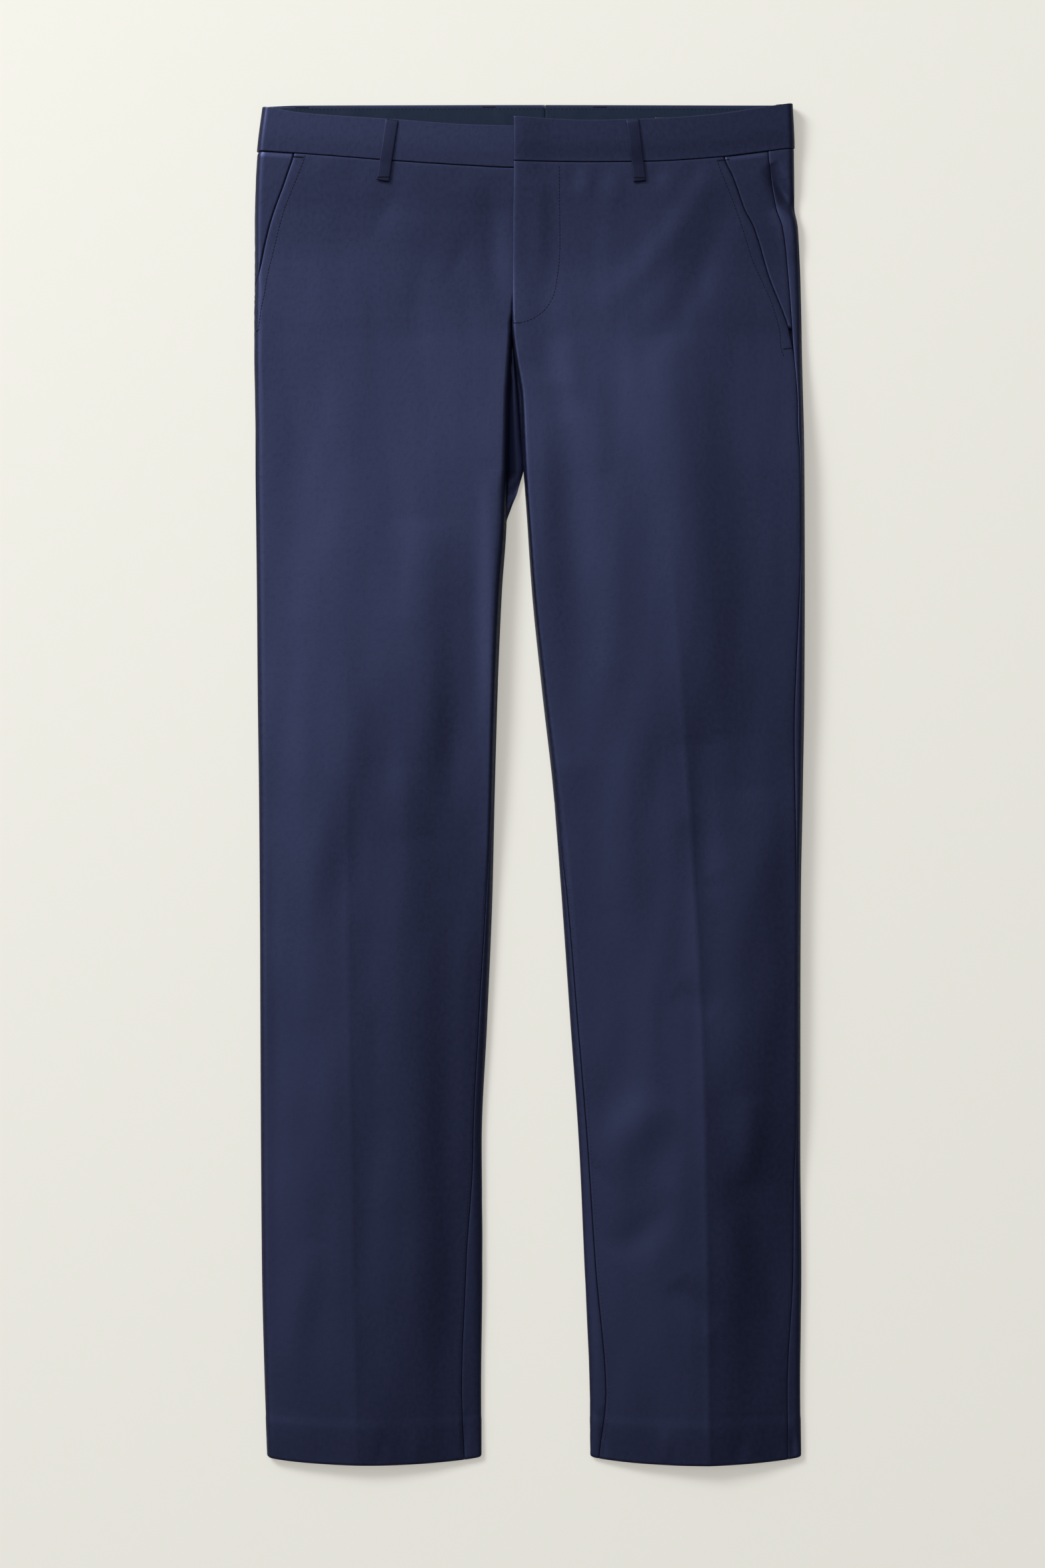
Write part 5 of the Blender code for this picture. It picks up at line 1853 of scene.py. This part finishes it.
@dataclass
class Stitching:
    """Every row of stitches and bar tack, each as one joined mesh of thread whose dark colour is partly
    painted shade of the stitch dimples; along the hem the row is painted shade only.
    """

    surface: Surface
    shop: Workshop
    flatness: float = 1.2  # how much lower than wide a stitch is
    tack_pitch: float = 0.5
    tack_thread: float = 0.42
    tack_proud: float = 0.15
    pick: float = 0.9
    pick_gap: float = 3.2
    pick_rows: tuple[float, float, float] = (620.0, 12.0, 20.0)  # from, short of the hem, and step
    pick_inset: float = 2.4
    blind_gap: float = 7.5
    blind_above: float = 33.5
    blind_sides: tuple[float, float] = (14.0, 8.0)  # short of the leg's inner and outer edge
    blind_points: int = 12
    blind_bow: float = 0.9
    under_ends: float = 196.0
    under_points: int = 9
    under_below: float = 1.8
    foot_above: float = 2.2
    foot_half: float = 4.4
    inside_below: float = 2.0
    inside_half: float = 5.5

    def lay(
        self, shape: bmesh.types.BMesh, middle: Sequence[float], heading: Sequence[float],
        size: tuple[float, float], proud: float, facing: Facing,
    ) -> None:
        """Lays one stitch on the cloth.

        Args:
            shape: The mesh it joins.
            middle: Where its middle is, as (x, down).
            heading: The direction it runs in.
            size: Its length and width.
            proud: How far its middle stands off the cloth.
            facing: From which side it is sewn.
        """
        met = self.surface.meet(*middle, facing)
        if met is None:
            return
        place, normal = met
        along = Vector((heading[0], -heading[1], 0.0))
        along = (along - normal * along.dot(normal)).normalized()
        turn = Matrix((along, normal.cross(along), normal)).transposed().to_4x4()
        turn.translation = place + normal * (proud * MM)
        scale = Matrix.Diagonal((size[0] * MM / 2, size[1] * MM / 2, size[1] * MM / (2 * self.flatness), 1.0))
        bmesh.ops.create_icosphere(shape, subdivisions=1, radius=1.0, matrix=turn @ scale)

    def row(self, seam: Seam) -> bpy.types.Object:
        """Makes one row of stitches.

        Args:
            seam: The row.

        Returns:
            The piece.
        """
        shape = bmesh.new()
        line = np.array(seam.line, float)
        at = lengths_along(line)
        pitch = seam.stitch + seam.gap
        for start in np.arange(seam.gap, at[-1] - seam.stitch, pitch):
            first, last = (np.array([curve(at, line[:, axis], start + step) for axis in (0, 1)])
                           for step in (0.0, seam.stitch))
            size = (seam.stitch, seam.width)
            self.lay(shape, (first + last) / 2, last - first, size, seam.proud, Facing.FRONT)
        return self.finish(seam.name, shape)

    def tack(self, tack: Tack) -> bpy.types.Object:
        """Makes one bar tack: short stitches side by side across its line.

        Args:
            tack: The tack.

        Returns:
            The piece.
        """
        shape = bmesh.new()
        run, fall = tack.end[0] - tack.start[0], tack.end[1] - tack.start[1]
        length, size = math.hypot(run, fall), (tack.width, self.tack_thread)
        for step in np.arange(0.0, length, self.tack_pitch):
            share = step / length
            middle = (tack.start[0] + run * share, tack.start[1] + fall * share)
            self.lay(shape, middle, (-fall, run), size, self.tack_proud, tack.facing)
        return self.finish(tack.name, shape)

    def finish(self, name: str, shape: bmesh.types.BMesh) -> bpy.types.Object:
        """Makes a piece of the laid stitches.

        Args:
            name: The piece's name.
            shape: The stitches.

        Returns:
            The piece.
        """
        made = self.shop.new_piece(name, shape, THREAD_AND_STITCH_SHADE)
        lay_pattern(made, np.array([vertex.co[:2] for vertex in made.data.vertices]))
        self.shop.hand_in(made, THREAD_AND_STITCH_SHADE.slot)
        return made

    def leg_seams(self, form: Form) -> list[Seam]:
        """The rows that follow one leg: the fine one beside its inseam, and along the hem's blind stitch a
        row of dark marks on the outside that is painted shade of its dimples.

        Args:
            form: The half's shape.

        Returns:
            The rows.
        """
        label, out = form.half.label, form.half.value
        downs = np.arange(self.pick_rows[0], LENGTH - self.pick_rows[1], self.pick_rows[2])
        insets = [max(form.at("inseam", down), 0.0) + self.pick_inset for down in downs]
        beside = [(form.at("inner", down) + out * inset, down) for down, inset in zip(downs, insets)]
        inner = form.at("inner", LENGTH) + out * self.blind_sides[0]
        xs = np.linspace(inner, form.at("outer", LENGTH) - out * self.blind_sides[1], self.blind_points)
        level, last = LENGTH - self.blind_above, self.blind_points - 1
        turns = [math.sin(math.pi * index / last) - 1 for index in range(last + 1)]
        hem = [(x, level + HEM_BOW * self.blind_bow * turn) for x, turn in zip(xs, turns)]
        pick, pick_gap, blind_gap = self.pick, self.pick_gap - self.pick, self.blind_gap - self.pick
        return [
            Seam(f"inseam_stitch_{label}", tuple(beside), pick, pick_gap, width=0.45, proud=0.02),
            # Painted shade: dark marks on the outside where the blind hem shows only dimples.
            Seam(f"hem_stitch_{label}", tuple(hem), pick, blind_gap, width=0.35, proud=0.0),
        ]

    def waist_seams(self) -> list[Seam | Tack]:
        """The rows inside and on the back of the band: its understitch and the tacks of the loops.

        Returns:
            The rows.
        """
        xs = np.linspace(-self.under_ends, self.under_ends, self.under_points)
        line = [(x, float(back_waist_line(x)[0]) + LINING_TOP + self.under_below) for x in xs]
        found: list[Seam | Tack] = [Seam("band_understitch", tuple(line), stitch=2.0, gap=1.2, width=0.4)]
        for place in LOOP_PLACES:
            foot = place.waist + LOOP_BELOW_TOP + LOOP_LENGTH - self.foot_above
            x = place.x + place.lean * (1 - self.foot_above / LOOP_LENGTH)
            ends = ((x - self.foot_half, foot), (x + self.foot_half, foot))
            found.append(Tack(f"tack_{place.name}", *ends, width=1.3, facing=place.facing))
            if not place.on_front:
                inside = place.waist + self.inside_below
                ends = ((place.x - self.inside_half, inside), (place.x + self.inside_half, inside))
                found.append(Tack(f"tack_{place.name}_inside", *ends, width=1.2))
        return found

    def build(self, forms: Sequence[Form]) -> None:
        """Makes every row and tack.

        Args:
            forms: The two halves.
        """
        rows = [*SEAMS, *TACKS, *self.waist_seams()]
        for form in forms:
            rows += self.leg_seams(form)
        for row in rows:
            make = self.tack if isinstance(row, Tack) else self.row
            make(row)


@dataclass(frozen=True)
class Setting:
    """The floor, the lights and the camera, in metres."""

    camera: tuple[float, float, float] = (-0.0057, 0.0004, 3.015)
    lens: float = 84.45
    sensor: float = 36.0
    floor: float = 14.0
    floor_colour: tuple[float, float, float] = (0.48, 0.48, 0.45)
    floor_glow: tuple[float, float, float] = (0.385, 0.37, 0.33)
    floor_fineness: float = 60.0
    floor_speckle: float = 0.02
    key_place: tuple[float, float, float] = (-2.4, 2.5, 2.75)
    key_size: float = 1.4
    key_power: float = 157.0
    sky: tuple[tuple[float, float], ...] = ((0.0, 0.10), (0.45, 0.14), (0.70, 0.30), (0.85, 0.75), (1.0, 1.3))
    sky_middle: tuple[float, float, float] = (-0.43, 0.47, 0.771)  # where the white ceiling is brightest
    sky_colour: tuple[float, float, float] = (0.97, 0.985, 1.0)
    backdrop: tuple[float, float, float] = (0.80, 0.80, 0.76)

    def stand(self) -> None:
        """Makes the floor, which keeps its tone under the soft light and still takes the shadow."""
        shape = bmesh.new()
        bmesh.ops.create_grid(shape, x_segments=1, y_segments=1, size=self.floor / 2)
        mesh = bpy.data.meshes.new("floor")
        shape.to_mesh(mesh)
        shape.free()
        made, graph, shader = new_material("pale_floor")
        place = graph.add("ShaderNodeTexCoord").outputs["Object"]
        speckle = graph.noise(place, self.floor_fineness, 4.0)
        grain = graph.maths("MULTIPLY_ADD", speckle, self.floor_speckle, 1 - self.floor_speckle / 2)
        graph.feed(shader, {
            "Base Color": graph.shaded(self.floor_colour, grain),
            "Emission Color": (*self.floor_glow, 1.0),
            "Emission Strength": graph.add("ShaderNodeLightPath").outputs["Is Camera Ray"],
            "Roughness": 0.9,
            "Specular IOR Level": 0.1,
        })
        mesh.materials.append(made)
        placed("floor", mesh)

    def light(self) -> None:
        """Makes the large lamp at the upper left and the even light from the studio's walls."""
        lamp = bpy.data.lights.new("key", "AREA")
        lamp.shape, lamp.size, lamp.energy = "SQUARE", self.key_size, self.key_power
        key = placed("key", lamp)
        key.location = self.key_place
        key.rotation_euler = Vector(self.key_place).to_track_quat("Z", "Y").to_euler()
        world = bpy.data.worlds.new("studio")
        world.use_nodes = True
        graph = Graph(world.node_tree)
        ways = {0: graph.add("ShaderNodeTexCoord").outputs["Generated"], 1: self.sky_middle}
        toward = graph.add("ShaderNodeVectorMath", ways, operation="DOT_PRODUCT").outputs["Value"]
        ramp = graph.add("ShaderNodeValToRGB", {"Fac": toward})
        for index, (place, level) in enumerate(self.sky):
            stop = ramp.color_ramp.elements[index] if index < 2 else ramp.color_ramp.elements.new(place)
            stop.position, stop.color = place, (*(level * part for part in self.sky_colour), 1.0)
        seen = graph.add("ShaderNodeLightPath").outputs["Is Camera Ray"]
        ways = {0: seen, 6: ramp.outputs["Color"], 7: (*self.backdrop, 1.0)}  # a colour mix's share, A and B
        back = graph.add("ShaderNodeMix", ways, data_type="RGBA").outputs[2]
        graph.feed(world.node_tree.nodes["Background"], {"Color": back})
        bpy.context.scene.world = world

    def view(self) -> None:
        """Makes the camera, which looks straight down."""
        lens = bpy.data.cameras.new("camera")
        lens.lens, lens.sensor_width = self.lens, self.sensor
        camera = placed("camera", lens)
        camera.location = self.camera
        bpy.context.scene.camera = camera

    def build(self) -> None:
        """Makes the whole setting."""
        self.stand()
        self.light()
        self.view()
        bpy.context.scene.view_settings.view_transform = "Standard"


def main() -> None:
    """Makes the trousers piece by piece and sets them on the floor."""
    logging.basicConfig(level=logging.INFO, format="%(message)s")
    Setting().build()
    shop = Workshop()
    forms = list(FORMS.values())
    panels = [piece for form in forms for piece in Leg(form, shop).build()]
    waist = Waist(shop).build(forms)
    Fly(FORMS[Half.LEFT], shop).build()
    loops = BeltLoops(shop).build()
    Stitching(Surface([*panels, *waist, *loops]), shop).build(forms)
    for name in ("zip_slider", "waist_hook", "waist_bar"):
        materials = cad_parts[name].data.materials
        materials.clear()
        materials.append(shop.nickel)
        LOG.info("%s: kept, in nickel", name)


if __name__ == "__main__":
    main()
